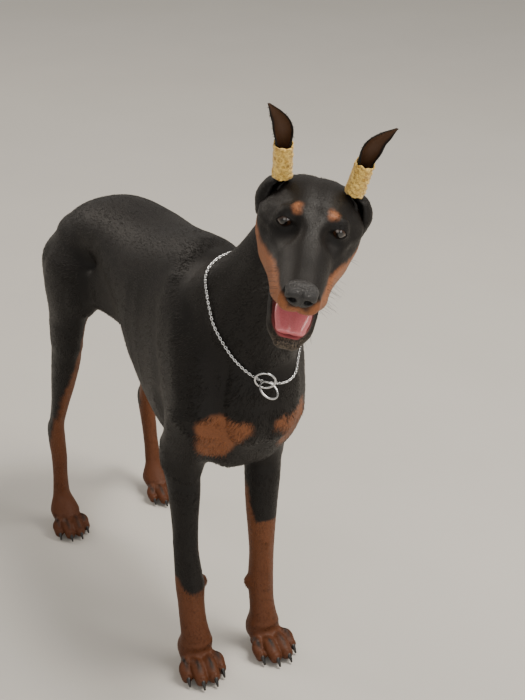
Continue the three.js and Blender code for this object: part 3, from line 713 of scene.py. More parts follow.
            ridge([(stifle[0] + 26 * hand, stifle[1] + 70, 350), (hock[0] + 16 * hand, hock[1] - 20, 262),
                   (hock[0] + 11 * hand, hock[1] - 10, 205)], 6, -2.6)
            ridge([(stifle[0] - 20 * hand, stifle[1] + 70, 350), (hock[0] - 14 * hand, hock[1] - 18, 262),
                   (hock[0] - 10 * hand, hock[1] - 8, 205)], 6, -2.2)
            ridge([(stifle[0], stifle[1] - 4, 400), (stifle[0], stifle[1] + 4, 372)], 12, 2.4)
            ridge([(44 * hand + 4, -330, 690), (56 * hand + 4, -290, 630),
                   (66 * hand + 2, -262, 570)], 16, 3.0)
            ridge([(30 * hand + 10, -372, 690), (40 * hand + 8, -340, 640),
                   (48 * hand + 4, -318, 580)], 10, -2.6)
            for n in range(5):
                y = -70 + 34 * n
                ridge([(96 * hand, y + 8, 560), (104 * hand, y, 500), (98 * hand, y - 18, 430)], 8, 0.8)
        flesh.stroke([(4, -300, 470), (4, -300, 430), (2, -290, 390)], 12, -4.0)
        flesh.stroke([(0, -120, 650), (0, -20, 630), (0, 100, 616), (0, 200, 600)], 9, -1.0)


TOES = ((-27, 10, 12), (-10, 26, 13), (10, 26, 13), (27, 10, 12))


def paw_place(at: Row, yaw: float) -> Place:
    """The place of a paw on the floor."""
    turn = np.array(Matrix.Rotation(math.radians(yaw), 3, "Z"))
    return Place(np.array([at[0], at[1], 0.0]), turn)


def standing_paws() -> Iterator[tuple[Place, float]]:
    """The place and size of each foot: both fore, then both hind."""
    for paw, at in enumerate((*STANCE.fore_paw, *STANCE.hind_paw)):
        yield paw_place(at, STANCE.paw_yaw[paw]), STANCE.fore_size if paw < 2 else STANCE.hind_size


JAW_HINGE = np.array([0.0, 62.0, -34.0])
JAW_DROP = 20.0


def jaw_place() -> Place:
    """The lower jaw's own axes, dropped about its hinge."""
    drop = np.array(Matrix.Rotation(math.radians(JAW_DROP), 3, "X"))
    origin = HEAD.out((JAW_HINGE - drop @ JAW_HINGE)[None])[0]
    return Place(origin, HEAD.turn @ drop)


JAW = jaw_place()


class EyeSlit(Form):
    """The almond opening between the lids of one eye, as deep as the eyeball's face."""

    half_length = 9.2
    above = 5.6
    below = 4.3
    floor = 10.2
    lid = 13.2
    reach_out = 19.0

    def __init__(self, hand: int) -> None:
        """Args: hand, -1 for the dog's right eye."""
        self.place = HEAD
        self.centre = EYE * [hand, 1, 1]
        self.gaze = unit([0.2 * hand, -1.0, 0.06])
        self.across = unit(np.cross(self.gaze, [0.22 * hand, 0, 1.0]) * -hand)
        self.rise = np.cross(self.gaze, self.across) * hand
        self.rise *= np.sign(self.rise[2])

    def arch(self, a: Array, above: bool) -> Array:
        """Height of a lid's edge over the eye's middle at places along the opening."""
        return (self.above if above else -self.below) * (1 - (a / self.half_length) ** 2)

    def own(self, q: Array) -> Array:
        """Signed distance in the head's axes."""
        v = q - self.centre
        r = np.maximum(np.linalg.norm(v, axis=1), 1e-6)
        d = v / r[:, None] * self.lid
        a, b = d @ self.across, d @ self.rise
        almond = np.maximum(b - self.arch(a, True), self.arch(a, False) - b)
        almond = np.where(v @ self.gaze > 0, almond, 20.0)
        return np.maximum.reduce([almond * 0.9, self.floor - r, r - self.reach_out])

    def line(self, above: bool, off: float) -> Array:
        """Points on a lid along its edge, moved away from the opening."""
        a = np.linspace(-1, 1, 9) * (self.half_length + 0.4 * off)
        b = self.arch(a * 0.96, above) + (off if above else -off)
        ahead = np.sqrt(np.maximum(self.lid ** 2 - a ** 2 - b ** 2, 1.0))
        return self.centre + a[:, None] * self.across + b[:, None] * self.rise + ahead[:, None] * self.gaze

    def shell(self) -> Array:
        """The corners round the eyeball."""
        return self.centre + box_corners() * 15.0


@dataclass
class HeadShape:
    """Skull, muzzle, lids, lips and jaw as one sculpture."""

    def build(self, flesh: Sculpture) -> None:
        """Adds the whole head."""
        self.skull(flesh)
        self.jaw(flesh)
        self.mouth(flesh)
        for _, hand in HANDS:
            self.side(flesh, hand)
        self.nose_seat(flesh)
        self.relief(flesh)
        for _, hand in HANDS:
            self.lids(flesh, hand)

    def skull(self, flesh: Sculpture) -> None:
        """Skull and muzzle, long and flat."""
        flesh.add(Loft([
            (0, 102, -28, 40, 29, 32, 2.2), (0, 84, -22, 52, 38, 44, 2.3),
            (0, 54, -18, 57, 46, 54, 2.4, -0.08),
            (0, 22, -18, 53, 46, 54, 2.3, -0.14), (0, -4, -18, 46, 38, 48, 2.3, -0.2),
            (0, -30, -20, 36, 31, 34, 2.2, -0.24), (0, -60, -22, 31.5, 28, 28, 2.2, -0.24),
            (0, -92, -21, 28.5, 25.5, 24, 2.2, -0.2), (0, -112, -20, 25.5, 23, 20, 2.3, -0.14),
        ], UP, FRONT, (20, 10), HEAD), 14)

    def side(self, flesh: Sculpture, hand: int) -> None:
        """Brow, cheek and the upper lip of one side."""
        flesh.add(Ball((24 * hand, 8, 9), (15, 13, 10), place=HEAD), 10)
        flesh.add(Ball((43 * hand, 44, -30), (20, 34, 32), (0, 0, 8 * hand), HEAD), 14)
        flesh.add(Loft([
            (50 * hand, 30, -42, 9, 20, 18), (46 * hand, 4, -45, 9, 19, 18),
            (38.5 * hand, -20, -44, 9, 18, 16),
            (31 * hand, -48, -41, 9, 16, 13), (27 * hand, -70, -39, 9, 15, 12),
            (22 * hand, -96, -34, 10, 13, 10), (12 * hand, -114, -30, 9, 9, 7),
        ], UP, FRONT, (12, 7), HEAD), 8)

    def jaw(self, flesh: Sculpture) -> None:
        """The lower jaw with its lip and chin."""
        flesh.add(Loft([
            (0, 66, -40, 44, 20, 26, 2.3), (0, 40, -46, 42, 20, 24, 2.3), (0, 5, -52, 37, 17, 17, 2.3),
            (1, -30, -56, 33, 13, 14, 2.3), (2, -60, -58, 31, 12, 13, 2.3), (2, -84, -58, 26.5, 11, 13, 2.3),
            (2, -97, -58, 18, 9, 12, 2.2),
        ], UP, FRONT, (14, 8), JAW), 6)

    def mouth(self, flesh: Sculpture) -> None:
        """The open mouth: the space between palate and jaw, hollow where the tongue lies."""
        flesh.cut(Loft([
            (0, -2, -48, 24, 1.5, 1.5), (1, -30, -47, 27, 5, 6, 2.6), (2, -60, -46, 26, 7, 8, 2.6),
            (2, -82, -45, 21, 8, 8, 2.4), (2, -89, -45, 18, 8, 6, 2.2),
        ], UP, FRONT, (6, 4), JAW), 3)
        flesh.cut(Loft([
            (0, -10, -58, 34, 4, 5, 4), (0, -30, -60, 44, 7, 12, 4), (0, -60, -67, 46, 16, 19, 4),
            (0, -90, -72, 46, 25, 25, 4), (0, -130, -82, 46, 45, 32, 4),
        ], UP, FRONT, (8, 10), HEAD), 2.5)

    def lids(self, flesh: Sculpture, hand: int) -> None:
        """Both lids of an eye round an almond opening, and the socket behind them."""
        slit = EyeSlit(hand)
        flesh.cut(Ball(slit.centre + slit.gaze * 25, (17, 13, 12.5), place=HEAD), 16)
        flesh.add(Ball(slit.centre, (14.0, 13.6, 13.4), place=HEAD), 7)
        for above in (True, False):
            flesh.stroke(slit.line(above, 4.2), 1.7, -0.55 if above else -0.35, HEAD)
            flesh.stroke(slit.line(above, 1.0), 1.5, 0.5, HEAD)
        flesh.cut(slit, 0.9)

    def nose_seat(self, flesh: Sculpture) -> None:
        """The hollow that the nose leather sits in."""
        flesh.cut(Ball((0, -120, -10), (17, 12, 12), place=HEAD), 2)

    def relief(self, flesh: Sculpture) -> None:
        """Furrows, folds and veins of the face."""
        def line(points: Sequence[Row], width: float, height: float) -> None:
            """One stroke on the head."""
            flesh.stroke(points, width, height, HEAD)

        line([(0, 96, 16), (0, 60, 28), (0, 20, 28), (0, -6, 20)], 9, -1.6)
        line([(0, -30, 12), (0, -60, 7), (0, -100, 5)], 8, -0.6)
        line([(0, -112, -42), (0, -117, -32)], 1.6, -1.4)
        for _, hand in HANDS:
            line([(10 * hand, 4, 24), (24 * hand, 0, 20), (38 * hand, 6, 14), (46 * hand, 20, 8)], 6, 1.2)
            line([(36 * hand, 14, 14), (47 * hand, 34, 14), (52 * hand, 56, 12)], 9, -2.2)
            line([(44 * hand, 6, -14), (50 * hand, 30, -18), (56 * hand, 56, -16)], 7, 2.2)
            line([(28 * hand, -30, -16), (31 * hand, -60, -24), (29 * hand, -90, -26)], 7, -1.2)
            line([(38 * hand, -20, -40), (42 * hand, 10, -46), (46 * hand, 30, -56)], 6, -1.6)
            line([(33 * hand, -32, -60), (36 * hand, -14, -56), (40 * hand, 6, -54)], 4, -1.8)
            for n in range(3):
                line([(20 * hand, -104 + 9 * n, -30 - 2 * n),
                      (26 * hand, -92 + 9 * n, -36 - 2 * n)], 1.6, -0.35)


def dog_flesh() -> Sculpture:
    """The whole skin's sculpture, inside the solids by the coat's depth."""
    flesh = Sculpture()
    BodyShape().build(flesh)
    HeadShape().build(flesh)
    flesh.inset = COAT_DEPTH
    return flesh


# Markings.

@dataclass
class Markings:
    """Where the rust, the bare lips and the grey of the coat lie, as distances in millimetres."""

    rust: Sculpture = field(default_factory=Sculpture)
    bare: Sculpture = field(default_factory=Sculpture)
    pink: Sculpture = field(default_factory=Sculpture)
    grey: Sculpture = field(default_factory=Sculpture)

    def __post_init__(self) -> None:
        """Lays out the patches."""
        self.chest()
        self.legs()
        for _, hand in HANDS:
            self.rust.add(Ball((22 * hand, 0, 23), (6.2, 12, 6.6), place=HEAD), 1)
            self.rust.add(Loft([
                (62 * hand, 34, -36, 6, 8, 14), (59 * hand, 8, -44, 8, 10, 16),
                (51 * hand, -20, -44, 13, 15, 19),
                (41 * hand, -58, -37, 15, 19, 22), (34 * hand, -96, -33, 15, 19, 23),
                (22 * hand, -116, -34, 15, 18, 20),
            ], UP, FRONT, (10, 8), HEAD), 6)
            self.bare.add(EyeSlit(hand), 1)
        self.rust.add(Ball((0, -116, -37), (20, 14, 10.5), place=HEAD), 4)
        self.grey.add(Loft([
            (1, -44, -50, 24, 5, 8), (2, -80, -54, 23, 8, 13), (2, -104, -58, 18, 11, 15),
        ], UP, FRONT, (14, 8), JAW), 3)
        self.pink.add(Loft([
            (1, -6, -47, 24, 6, 6), (1, -30, -47, 27, 8, 8, 2.6), (2, -60, -46, 27, 10, 10, 2.6),
            (2, -84, -45, 22, 10, 11, 2.4), (2, -93, -45, 17, 8, 9, 2.2),
        ], UP, FRONT, (6, 3), JAW), 1)
        self.pink.add(Loft([
            (0, -10, -56, 22, 8, 8, 3), (0, -60, -56, 22, 9, 10, 3), (0, -104, -50, 18, 11, 12, 3),
        ], UP, FRONT, (4, 4), HEAD), 1)
        self.rust.add(Loft([
            (0, 60, -70, 34, 22, 26), (0, 20, -72, 30, 14, 22), (0, -20, -72, 26, 10, 20),
            (0, -60, -72, 22, 10, 18),
        ], UP, FRONT, (16, 6), JAW), 6)

    def store(self, mesh: bpy.types.Mesh, p: Array) -> None:
        """Stores how far inside each marking the points lie on a mesh.

        Args:
            mesh: the mesh that gets the measures.
            p: one place in design millimetres for each of its points.
        """
        for name in MARKS:
            set_measure(mesh, name, -getattr(self, name).distance(p))

    def chest(self) -> None:
        """Two patches on the breast."""
        middle = -3.0
        for _, hand in HANDS:
            self.rust.add(Ball((middle + 51 * hand, -270, 430), (34, 40, 25), (0, -12 * hand, 0)), 8)
            self.rust.add(Ball((middle + 56 * hand, -266, 404), (24, 38, 26)), 10)
            self.rust.add(Ball((middle + 26 * hand, -284, 437), (17, 26, 15)), 10)

    def legs(self) -> None:
        """Rust below the pasterns and up the inside of every leg."""
        s = STANCE
        for i, (_, hand) in enumerate(HANDS):
            x = s.fore_x[i]
            top = (150, 212)[i]
            self.rust.add(Loft([
                (x, -206, top, 30, 40, 34), (x, -206, 100, 34, 44, 40), (x, -230, 40, 50, 70, 50),
                (x, -240, -10, 60, 90, 60),
            ], FRONT, -UP, (16, 10)), 8)
            self.rust.add(Loft([
                (x - 24 * hand, -190, 262, 8, 18, 26), (x - 22 * hand, -200, 214, 12, 24, 26),
            ], FRONT, -UP, (20, 20)), 10)
            hock, foot, stifle = s.hock[i], s.hind_paw[i], s.stifle[i]
            self.rust.add(Loft([
                (foot[0], hock[1] - 26, 190, 13, 22, 16), (foot[0], hock[1] - 20, 130, 24, 30, 26),
                (foot[0], foot[1], 60, 40, 60, 50), (foot[0], foot[1] - 10, -10, 60, 90, 60),
            ], FRONT, -UP, (20, 10)), 8)
            self.rust.add(Loft([
                (stifle[0] - 28 * hand, stifle[1] + 16, 424, 17, 46, 32),
                (stifle[0] - 23 * hand, stifle[1] + 30, 360, 20, 40, 32),
                (hock[0] - 13 * hand, hock[1] - 42, 260, 17, 32, 26),
                (hock[0] - 10 * hand, hock[1] - 22, 180, 16, 26, 20),
            ], FRONT, -UP, (20, 10)), 8)
        self.rust.cut(Ball((s.fore_x[0] + 8, -226, 166), (32, 22, 30), (0, 24, 0)), 10)
        self.rust.cut(Ball((s.fore_x[1] + 24, -208, 170), (9, 22, 44)), 8)
        self.rust.add(Ball((0, 292, 508), (26, 16, 26)), 8)
        for place, size in standing_paws():
            for out, reach, _ in TOES:
                middle = (out * size, (-reach - 8) * size, 33 * size)
                self.rust.cut(Ball(middle, (2.2, 16, 7), place=place), 4)


# Finishes.

def linear(code: str) -> tuple[float, float, float, float]:
    """An sRGB hex colour as linear values with full alpha."""
    parts = [int(code[i:i + 2], 16) / 255 for i in (1, 3, 5)]
    flat = [c / 12.92 if c <= 0.04045 else ((c + 0.055) / 1.055) ** 2.4 for c in parts]
    return flat[0], flat[1], flat[2], 1.0


def feed(node: bpy.types.Node, links: dict[str | int, bpy.types.NodeSocket]) -> None:
    """Links output sockets to a node's inputs, by name or number."""
    for key, source in links.items():
        node.id_data.links.new(source, node.inputs[key])


def add_node(tree: bpy.types.NodeTree, kind: str, settings: dict[str | int, object] | None = None,
             links: dict[str | int, bpy.types.NodeSocket] | None = None) -> bpy.types.Node:
    """Adds a shader node.

    Args:
        tree: the material's node tree.
        kind: the node's type name, less the words it starts with.
        settings: values for properties, or for sockets by name or number.
        links: output sockets that feed its inputs, by name or number.

    Returns:
        The node.
    """
    node = tree.nodes.new(f"ShaderNode{kind}")
    for key, value in (settings or {}).items():
        if isinstance(key, int) or key in node.inputs:
            node.inputs[key].default_value = value
        else:
            setattr(node, key, value)
    feed(node, links or {})
    return node


Finish = tuple[bpy.types.Material, Callable[..., bpy.types.Node], bpy.types.Node]


def new_finish(name: str, shader: dict[str, object]) -> Finish:
    """A material whose surface is one Principled shader with constants set on it.

    Returns:
        The material, what adds a node to it, and the shader.
    """
    material = bpy.data.materials.new(name)
    material.use_nodes = True
    body = material.node_tree.nodes["Principled BSDF"]
    for key, value in shader.items():
        body.inputs[key].default_value = value
    return material, partial(add_node, material.node_tree), body


@dataclass(frozen=True)
class CoatFinish:
    """Short close hair over dark skin: black with rust points, the shine of a healthy coat."""

    black: str = "#080707"
    # a dark brown mixed at random into the black as a painted warm sheen
    painted_sheen_brown: str = "#15110e"
    rust: str = "#b4734a"
    # the dark end of the rust: its random tone, and the painted shade towards the feet
    rust_dark: str = "#46230f"
    skin: str = "#0f0e0f"
    lining: str = "#4b3322"
    gum: str = "#a65a5c"
    grizzle: str = "#8c7b69"
    sheen: str = "#9a8672"
    hair_scale: float = 520.0

    def make(self, name: str) -> bpy.types.Material:
        """The finish of the skin and of the tufts, so that both carry the same markings.

        A single hair of 0.05 mm would not show, so the grain is drawn about 2 mm coarse.
        """
        material, add, body = new_finish(name, {
            "Specular IOR Level": 0.24, "Sheen Weight": 0.04, "Sheen Roughness": 0.45,
            "Sheen Tint": linear(self.sheen),
        })
        where = add("TexCoord").outputs["Object"]
        edge, bare, pink, grey, tone, lining = (
            add("Attribute", {"attribute_name": measure}).outputs["Fac"]
            for measure in (*MARKS, "tone", "lining"))
        patchy = add("TexNoise", {"Scale": 90.0, "Detail": 4.0}, {"Vector": where})
        broad = add("TexNoise", {"Scale": 14.0, "Detail": 2.0}, {"Vector": where})
        hair = add("TexNoise", {"Scale": self.hair_scale, "Detail": 3.0, "Roughness": 0.7},
                   {"Vector": where})
        ragged = add("Math", {"operation": "MULTIPLY_ADD", 1: 9.0, 2: -4.5},
                     {0: patchy.outputs["Fac"]})
        shifted = add("Math", {"operation": "ADD"}, {0: edge, 1: ragged.outputs[0]})
        rusty = add(
            "MapRange",
            {"From Min": -4.5, "From Max": 4.5, "interpolation_type": "SMOOTHSTEP"},
            {"Value": shifted.outputs[0]})
        # Painted sheen: the black is mottled at random towards a dark brown that stands in for the warm sheen
        # of the lit coat.
        black = add(
            "Mix",
            {"data_type": "RGBA", 6: linear(self.black), 7: linear(self.painted_sheen_brown)},
            {0: broad.outputs["Fac"]})
        warm = add("Math", {"operation": "MULTIPLY_ADD", 1: 0.7},
                   {0: hair.outputs["Fac"], 2: tone})
        # Painted shade: by height alone, the rust goes darker towards the feet and lighter high up on the
        # head, standing in for light falling from above. The hair grain and each tuft's tone also vary it at
        # random.
        height = add("SeparateXYZ", {}, {"Vector": where}).outputs["Z"]
        painted_height_shade = add("MapRange", {"From Min": 0.0, "From Max": 0.8, "To Min": 0.1, "To Max": 1.5},
                  {"Value": height})
        tone_and_height_shade = add("Math", {"operation": "MULTIPLY"}, {0: warm.outputs[0], 1: painted_height_shade.outputs[0]})
        rust = add("Mix", {"data_type": "RGBA", 6: linear(self.rust_dark), 7: linear(self.rust)},
                   {0: tone_and_height_shade.outputs[0]})
        coat = add("Mix", {"data_type": "RGBA"},
                   {0: rusty.outputs[0], 6: black.outputs[2], 7: rust.outputs[2]})
        greying = add("MapRange", {"From Min": -5.0, "From Max": 7.0, "To Max": 1.2},
                      {"Value": grey})
        speck = add("MapRange", {"From Min": 0.44, "From Max": 0.66, "To Min": 0.03, "To Max": 0.5},
                    {"Value": hair.outputs["Fac"]})
        speckled = add("Math", {"operation": "MULTIPLY"},
                       {0: greying.outputs[0], 1: speck.outputs[0]})
        coat = add("Mix", {"data_type": "RGBA", 7: linear(self.grizzle)},
                   {0: speckled.outputs[0], 6: coat.outputs[2]})
        skin = add("MapRange", {"From Min": -1.5, "From Max": 1.5}, {"Value": bare})
        colour = add("Mix", {"data_type": "RGBA", 7: linear(self.skin)},
                     {0: skin.outputs[0], 6: coat.outputs[2]})
        for measure, code in ((lining, self.lining), (pink, self.gum)):
            inside = add("MapRange", {"From Min": -0.5, "From Max": 2.0}, {"Value": measure})
            colour = add("Mix", {"data_type": "RGBA", 7: linear(code)},
                         {0: inside.outputs[0], 6: colour.outputs[2]})
        feed(body, {"Base Color": colour.outputs[2]})
        shine = add("MapRange", {"From Min": 0.3, "From Max": 0.7, "To Min": 0.36, "To Max": 0.62},
                    {"Value": hair.outputs["Fac"]})
        feed(body, {"Roughness": shine.outputs[0]})
        bump = add("Bump", {"Strength": 0.6, "Distance": 0.0008}, {"Height": hair.outputs["Fac"]})
        feed(body, {"Normal": bump.outputs[0]})
        return material


def plain_grain(name: str, shader: dict[str, object], light: str, dark: str, scale: float,
                bump: float) -> bpy.types.Material:
    """A finish mottled between two colours, with a matching grain.

    Args:
        name: the material's name.
        shader: constants of the Principled shader.
        light: hex colour of the high spots.
        dark: hex colour of the hollows.
        scale: grain per metre.
        bump: height of the grain in metres.

    Returns:
        The material.
    """
    material, add, body = new_finish(name, shader)
    where = add("TexCoord").outputs["Object"]
    grain = add("TexNoise", {"Scale": scale, "Detail": 4.0}, {"Vector": where})
    colour = add("Mix", {"data_type": "RGBA", 6: linear(dark), 7: linear(light)},
                 {0: grain.outputs["Fac"]})
    feed(body, {"Base Color": colour.outputs[2]})
    rough = add("Bump", {"Strength": 0.8, "Distance": bump}, {"Height": grain.outputs["Fac"]})
    feed(body, {"Normal": rough.outputs[0]})
    return material


def nose_leather() -> bpy.types.Material:
    """Bare nose skin: cobbled, damp and dark, a satin shine on each cobble of about 1.4 mm; the colour is
    painted darker in the grooves between the cobbles as painted shade, and lighter on their tops.
    """
    material, add, body = new_finish("pebbled_nose_skin", {"Roughness": 0.38, "Specular IOR Level": 0.6})
    where = add("TexCoord").outputs["Object"]
    cobble = add("TexVoronoi", {"Scale": 700.0, "feature": "DISTANCE_TO_EDGE"}, {"Vector": where})
    raised = add("MapRange", {"From Max": 0.28}, {"Value": cobble.outputs["Distance"]})
    # Painted shade: the grooves between cobbles are coloured darker and the cobble tops lighter, following
    # the same heights as the bump.
    colour = add("Mix", {"data_type": "RGBA", 6: linear("#0c0b0b"), 7: linear("#252222")},
                 {0: raised.outputs[0]})
    feed(body, {"Base Color": colour.outputs[2]})
    bump = add("Bump", {"Strength": 0.7, "Distance": 0.0005}, {"Height": raised.outputs[0]})
    feed(body, {"Normal": bump.outputs[0]})
    return material


def eye_finish() -> bpy.types.Material:
    """A wet dark brown eye: pupil, fibrous iris and dark rim, under a clear film."""
    material, add, body = new_finish("wet_brown_eye", {
        "Roughness": 0.12, "Coat Weight": 1.0, "Coat Roughness": 0.02, "Coat IOR": 1.38,
    })
    ring = add("Attribute", {"attribute_name": "ring"}).outputs["Fac"]
    ramp = add("ValToRGB", {}, {"Fac": ring})
    stops = ((0.0, "#020202"), (0.30, "#020202"), (0.34, "#211208"), (0.55, "#38200f"), (0.68, "#170c06"),
             (0.74, "#0b0706"), (0.86, "#3a2b26"), (1.0, "#4d3a34"))
    elements = ramp.color_ramp.elements
    while len(elements) < len(stops):
        elements.new(0.5)
    for element, (place, code) in zip(elements, stops):
        element.position = place
        element.color = linear(code)
    feed(body, {"Base Color": ramp.outputs["Color"]})
    return material


def steel_finish() -> bpy.types.Material:
    """Chromed steel wire, drawn and plated: a bright mirror with handling marks of about 1 mm."""
    material, add, body = new_finish("chromed_steel_wire", {
        "Base Color": linear("#d6d7d8"), "Metallic": 1.0, "Roughness": 0.16,
    })
    where = add("TexCoord").outputs["Object"]
    marks = add("TexNoise", {"Scale": 900.0, "Detail": 3.0}, {"Vector": where})
    wear = add("MapRange", {"To Min": 0.1, "To Max": 0.3}, {"Value": marks.outputs["Fac"]})
    feed(body, {"Roughness": wear.outputs[0]})
    return material


def tape_finish() -> bpy.types.Material:
    """Elastic wrap tape, crinkled in winding, with creases 4 mm apart: its yellow is painted lighter on the
    crests as a painted highlight and darker in the creases as painted shade.
    """
    material, add, body = new_finish("crinkled_wrap_tape", {
        "Roughness": 0.62, "Sheen Weight": 0.25, "Sheen Roughness": 0.5,
    })
    where = add("TexCoord").outputs["Object"]
    crease = add("TexNoise", {"Scale": 260.0, "Detail": 5.0, "Roughness": 0.65, "Distortion": 0.8},
                 {"Vector": where})
    fine = add("TexNoise", {"Scale": 1300.0, "Detail": 2.0}, {"Vector": where})
    # Painted highlight and shade: the crease noise that raises the crinkles also makes the colour pale gold
    # on the crests and ochre in the creases.
    spread = add("MapRange", {"From Min": 0.36, "From Max": 0.62}, {"Value": crease.outputs["Fac"]})
    colour = add("Mix", {"data_type": "RGBA", 6: linear("#a97c24"), 7: linear("#ffd873")},
                 {0: spread.outputs[0]})
    feed(body, {"Base Color": colour.outputs[2]})
    height = add("Math", {"operation": "MULTIPLY_ADD", 1: 0.25},
                 {0: fine.outputs["Fac"], 2: crease.outputs["Fac"]})
    bump = add("Bump", {"Strength": 0.9, "Distance": 0.0012}, {"Height": height.outputs[0]})
    feed(body, {"Normal": bump.outputs[0]})
    return material


# Skin.

FLESH_NODES = ["torso", "tail", "neck", "head", "lower_jaw"] + [
    f"{part}_{side}" for side, _ in HANDS for part in ("foreleg", "forepaw", "hindleg", "hindpaw", "ear")
]


@dataclass(frozen=True)
class EarShape:
    """Sizes of one cropped ear in the head's axes, in millimetres."""

    hand: int
    root: Row
    bell: Row
    fold: Row
    tape_low: Row
    tape_high: Row
    leaf: Row
    blade: Row
    tip: Row
    rows: int = 52
    arc: int = 17

    def axis(self) -> Array:
        """The way the taped roll points."""
        return unit(np.array(self.tape_high) - np.array(self.tape_low))

    def mesh(self) -> tuple[Array, Array, Array]:
        """Points in design millimetres, faces, and how far inside the brown lining each point lies."""
        keys = np.array([
            [*self.root, 12, 165, 9.0], [*self.bell, 13.5, 165, 8.0], [*self.fold, 10, 160, 4.6],
            [*self.tape_low, 7.6, 150, 2.8], [*self.tape_high, 8.5, 128, 2.6], [*self.leaf, 12.5, 66, 2.4],
            [*self.blade, 9.2, 64, 2.2], [*self.tip, 2.4, 44, 1.4],
        ], float)
        at = np.arange(len(keys))
        slope = np.gradient(keys, axis=0)
        t = np.linspace(0, len(keys) - 1, self.rows)
        i = np.minimum(t.astype(int), len(keys) - 2)
        u = (t - at[i])[:, None]
        m = hermite(keys, slope, i, u)
        axis = self.axis()
        opening = np.array([0.12, -1.0, 0.1])
        front = unit(opening - axis * (opening @ axis))
        side = np.cross(axis, front)
        along = np.linspace(-1, 1, self.arc)
        edge = np.sqrt(np.maximum(0, 1 - np.abs(along) ** 3))
        rings, linings = [], []
        for place, row in zip(t, m):
            wall = row[5] * (0.3 + 0.7 * edge)
            leaf = np.clip(place - 3.2, -1, 1) * 6
            brown = np.minimum((0.86 - np.abs(along)) * 10, leaf)
            linings.append(np.concatenate([np.full(len(along), NO_LINING), brown]))
            angle = np.radians(row[4]) * along
            loops = []
            for sign, order in ((0.5, slice(None)), (-0.5, slice(None, None, -1))):
                radius = (row[3] + sign * wall)[:, None]
                point = row[:3] + radius * (np.sin(angle)[:, None] * side - np.cos(angle)[:, None] * front)
                loops.append(point[order])
            rings.append(np.vstack(loops))
        n = 2 * self.arc
        points = np.vstack(rings)
        faces = []
        for r in range(len(rings) - 1):
            for k in range(n):
                a, b = r * n + k, r * n + (k + 1) % n
                faces.append((a, b, b + n, a + n))
        for r, flip in ((0, True), (len(rings) - 1, False)):
            for k in range(self.arc - 1):
                loop = [r * n + k, r * n + k + 1, r * n + n - 2 - k, r * n + n - 1 - k]
                faces.append(tuple(loop[::-1] if flip else loop))
        return HEAD.out(points), np.array(faces), np.concatenate(linings)


EARS = {
    "right": EarShape(-1, (-50, 56, -30), (-53, 58, -8), (-51, 59, 10), (-45, 58, 22), (-52.5, 54, 66),
                      (-58, 52, 87), (-67, 53, 100), (-79, 56, 110)),
    "left": EarShape(1, (50, 56, -32), (54, 58, -8), (51, 59, 10), (42, 58, 22), (44, 54, 66),
                     (49.5, 52, 88), (57.5, 53, 103), (68, 56, 116)),
}


@dataclass
class Skin:
    """The one skin over body, head and ears."""

    flesh: Sculpture
    marks: Markings
    step: float = 4.6
    quick_step: float = 7.0

    def build(self) -> bpy.types.Object:
        """Meshes the sculpture, refines head and feet, and joins the ears to it."""
        low, high = (-150, -600, -12), (150, 345, 850)
        points, faces = surface_net(self.flesh, low, high, self.step)
        skin = piece_from("skin", points, faces)
        mesh = skin.data
        relax(mesh, self.flesh, 2)
        refine(mesh, lambda p: self.head_zone(p) | (p[:, 2] < 62))
        refine(mesh, self.face_zone)
        relax(mesh, self.flesh, 3)
        refine(mesh, self.eye_zone)
        relax(mesh, self.flesh, 3)
        set_measure(mesh, "lining", np.full(len(mesh.vertices), NO_LINING))
        for name, ear in EARS.items():
            self.join_ear(skin, ear)
            log.info("ear %s joined", name)
        with edited(mesh) as bm:
            bmesh.ops.triangulate(bm, faces=[f for f in bm.faces if len(f.verts) > 4])
            bmesh.ops.recalc_face_normals(bm, faces=bm.faces)
        self.flatten_soles(mesh)
        mesh.shade_smooth()
        self.marks.store(mesh, points_of(mesh))
        return skin

    @staticmethod
    def head_zone(p: Array) -> Array:
        """True for points on the head."""
        q = HEAD.into(p)
        return (q[:, 1] < 74) & (np.abs(q[:, 0]) < 90) & (q[:, 2] > -125)

    @staticmethod
    def face_zone(p: Array) -> Array:
        """True for points round the eyes, on the muzzle and the lips."""
        q = HEAD.into(p)
        eyes = (np.abs(np.abs(q[:, 0]) - EYE[0]) < 21) & (np.abs(q[:, 2] + 1) < 19) & (q[:, 1] < 12)
        muzzle = (q[:, 1] < -28) & (q[:, 2] < -8)
        return eyes | muzzle

    @staticmethod
    def eye_zone(p: Array) -> Array:
        """True for points on the lids."""
        q = HEAD.into(p)
        off = [np.linalg.norm(q - EYE * [hand, 1, 1], axis=1) for _, hand in HANDS]
        return (np.min(off, axis=0) < 17) & (q[:, 1] < EYE[1])

    @staticmethod
    def join_ear(skin: bpy.types.Object, ear: EarShape) -> None:
        """Adds one ear's shell to the skin's mesh."""
        points, faces, lining = ear.mesh()
        shell = piece_from("ear_shell", points, faces)
        set_measure(shell.data, "lining", lining)
        joined((skin, shell))
        deselect()

    @staticmethod
    def flatten_soles(mesh: bpy.types.Mesh) -> None:
        """Keeps the pads on the floor."""
        p = points_of(mesh)
        p[:, 2] = np.maximum(p[:, 2], SOLE_HEIGHT)
        set_points(mesh, p)


# Coat.

TUFT_POINTS = 7
TUFT_FACES = np.array([
    [0, 1, 2], [0, 3, 4], [0, 4, 1], [1, 4, 5], [1, 5, 2], [2, 5, 3], [2, 3, 0],
    [3, 6, 4], [4, 6, 5], [5, 6, 3],
])
TUFT_CHART = np.array([[-1, -1], [1, -1], [0, -1], [-1, 0], [1, 0], [0, 0.2], [0, 1]]) * 0.0014
MOST_TUFTS = 19500


@dataclass(frozen=True)
class Lock:
    """Sizes of a tuft in millimetres."""

    length: float
    width: float
    lift: float
    spacing: float


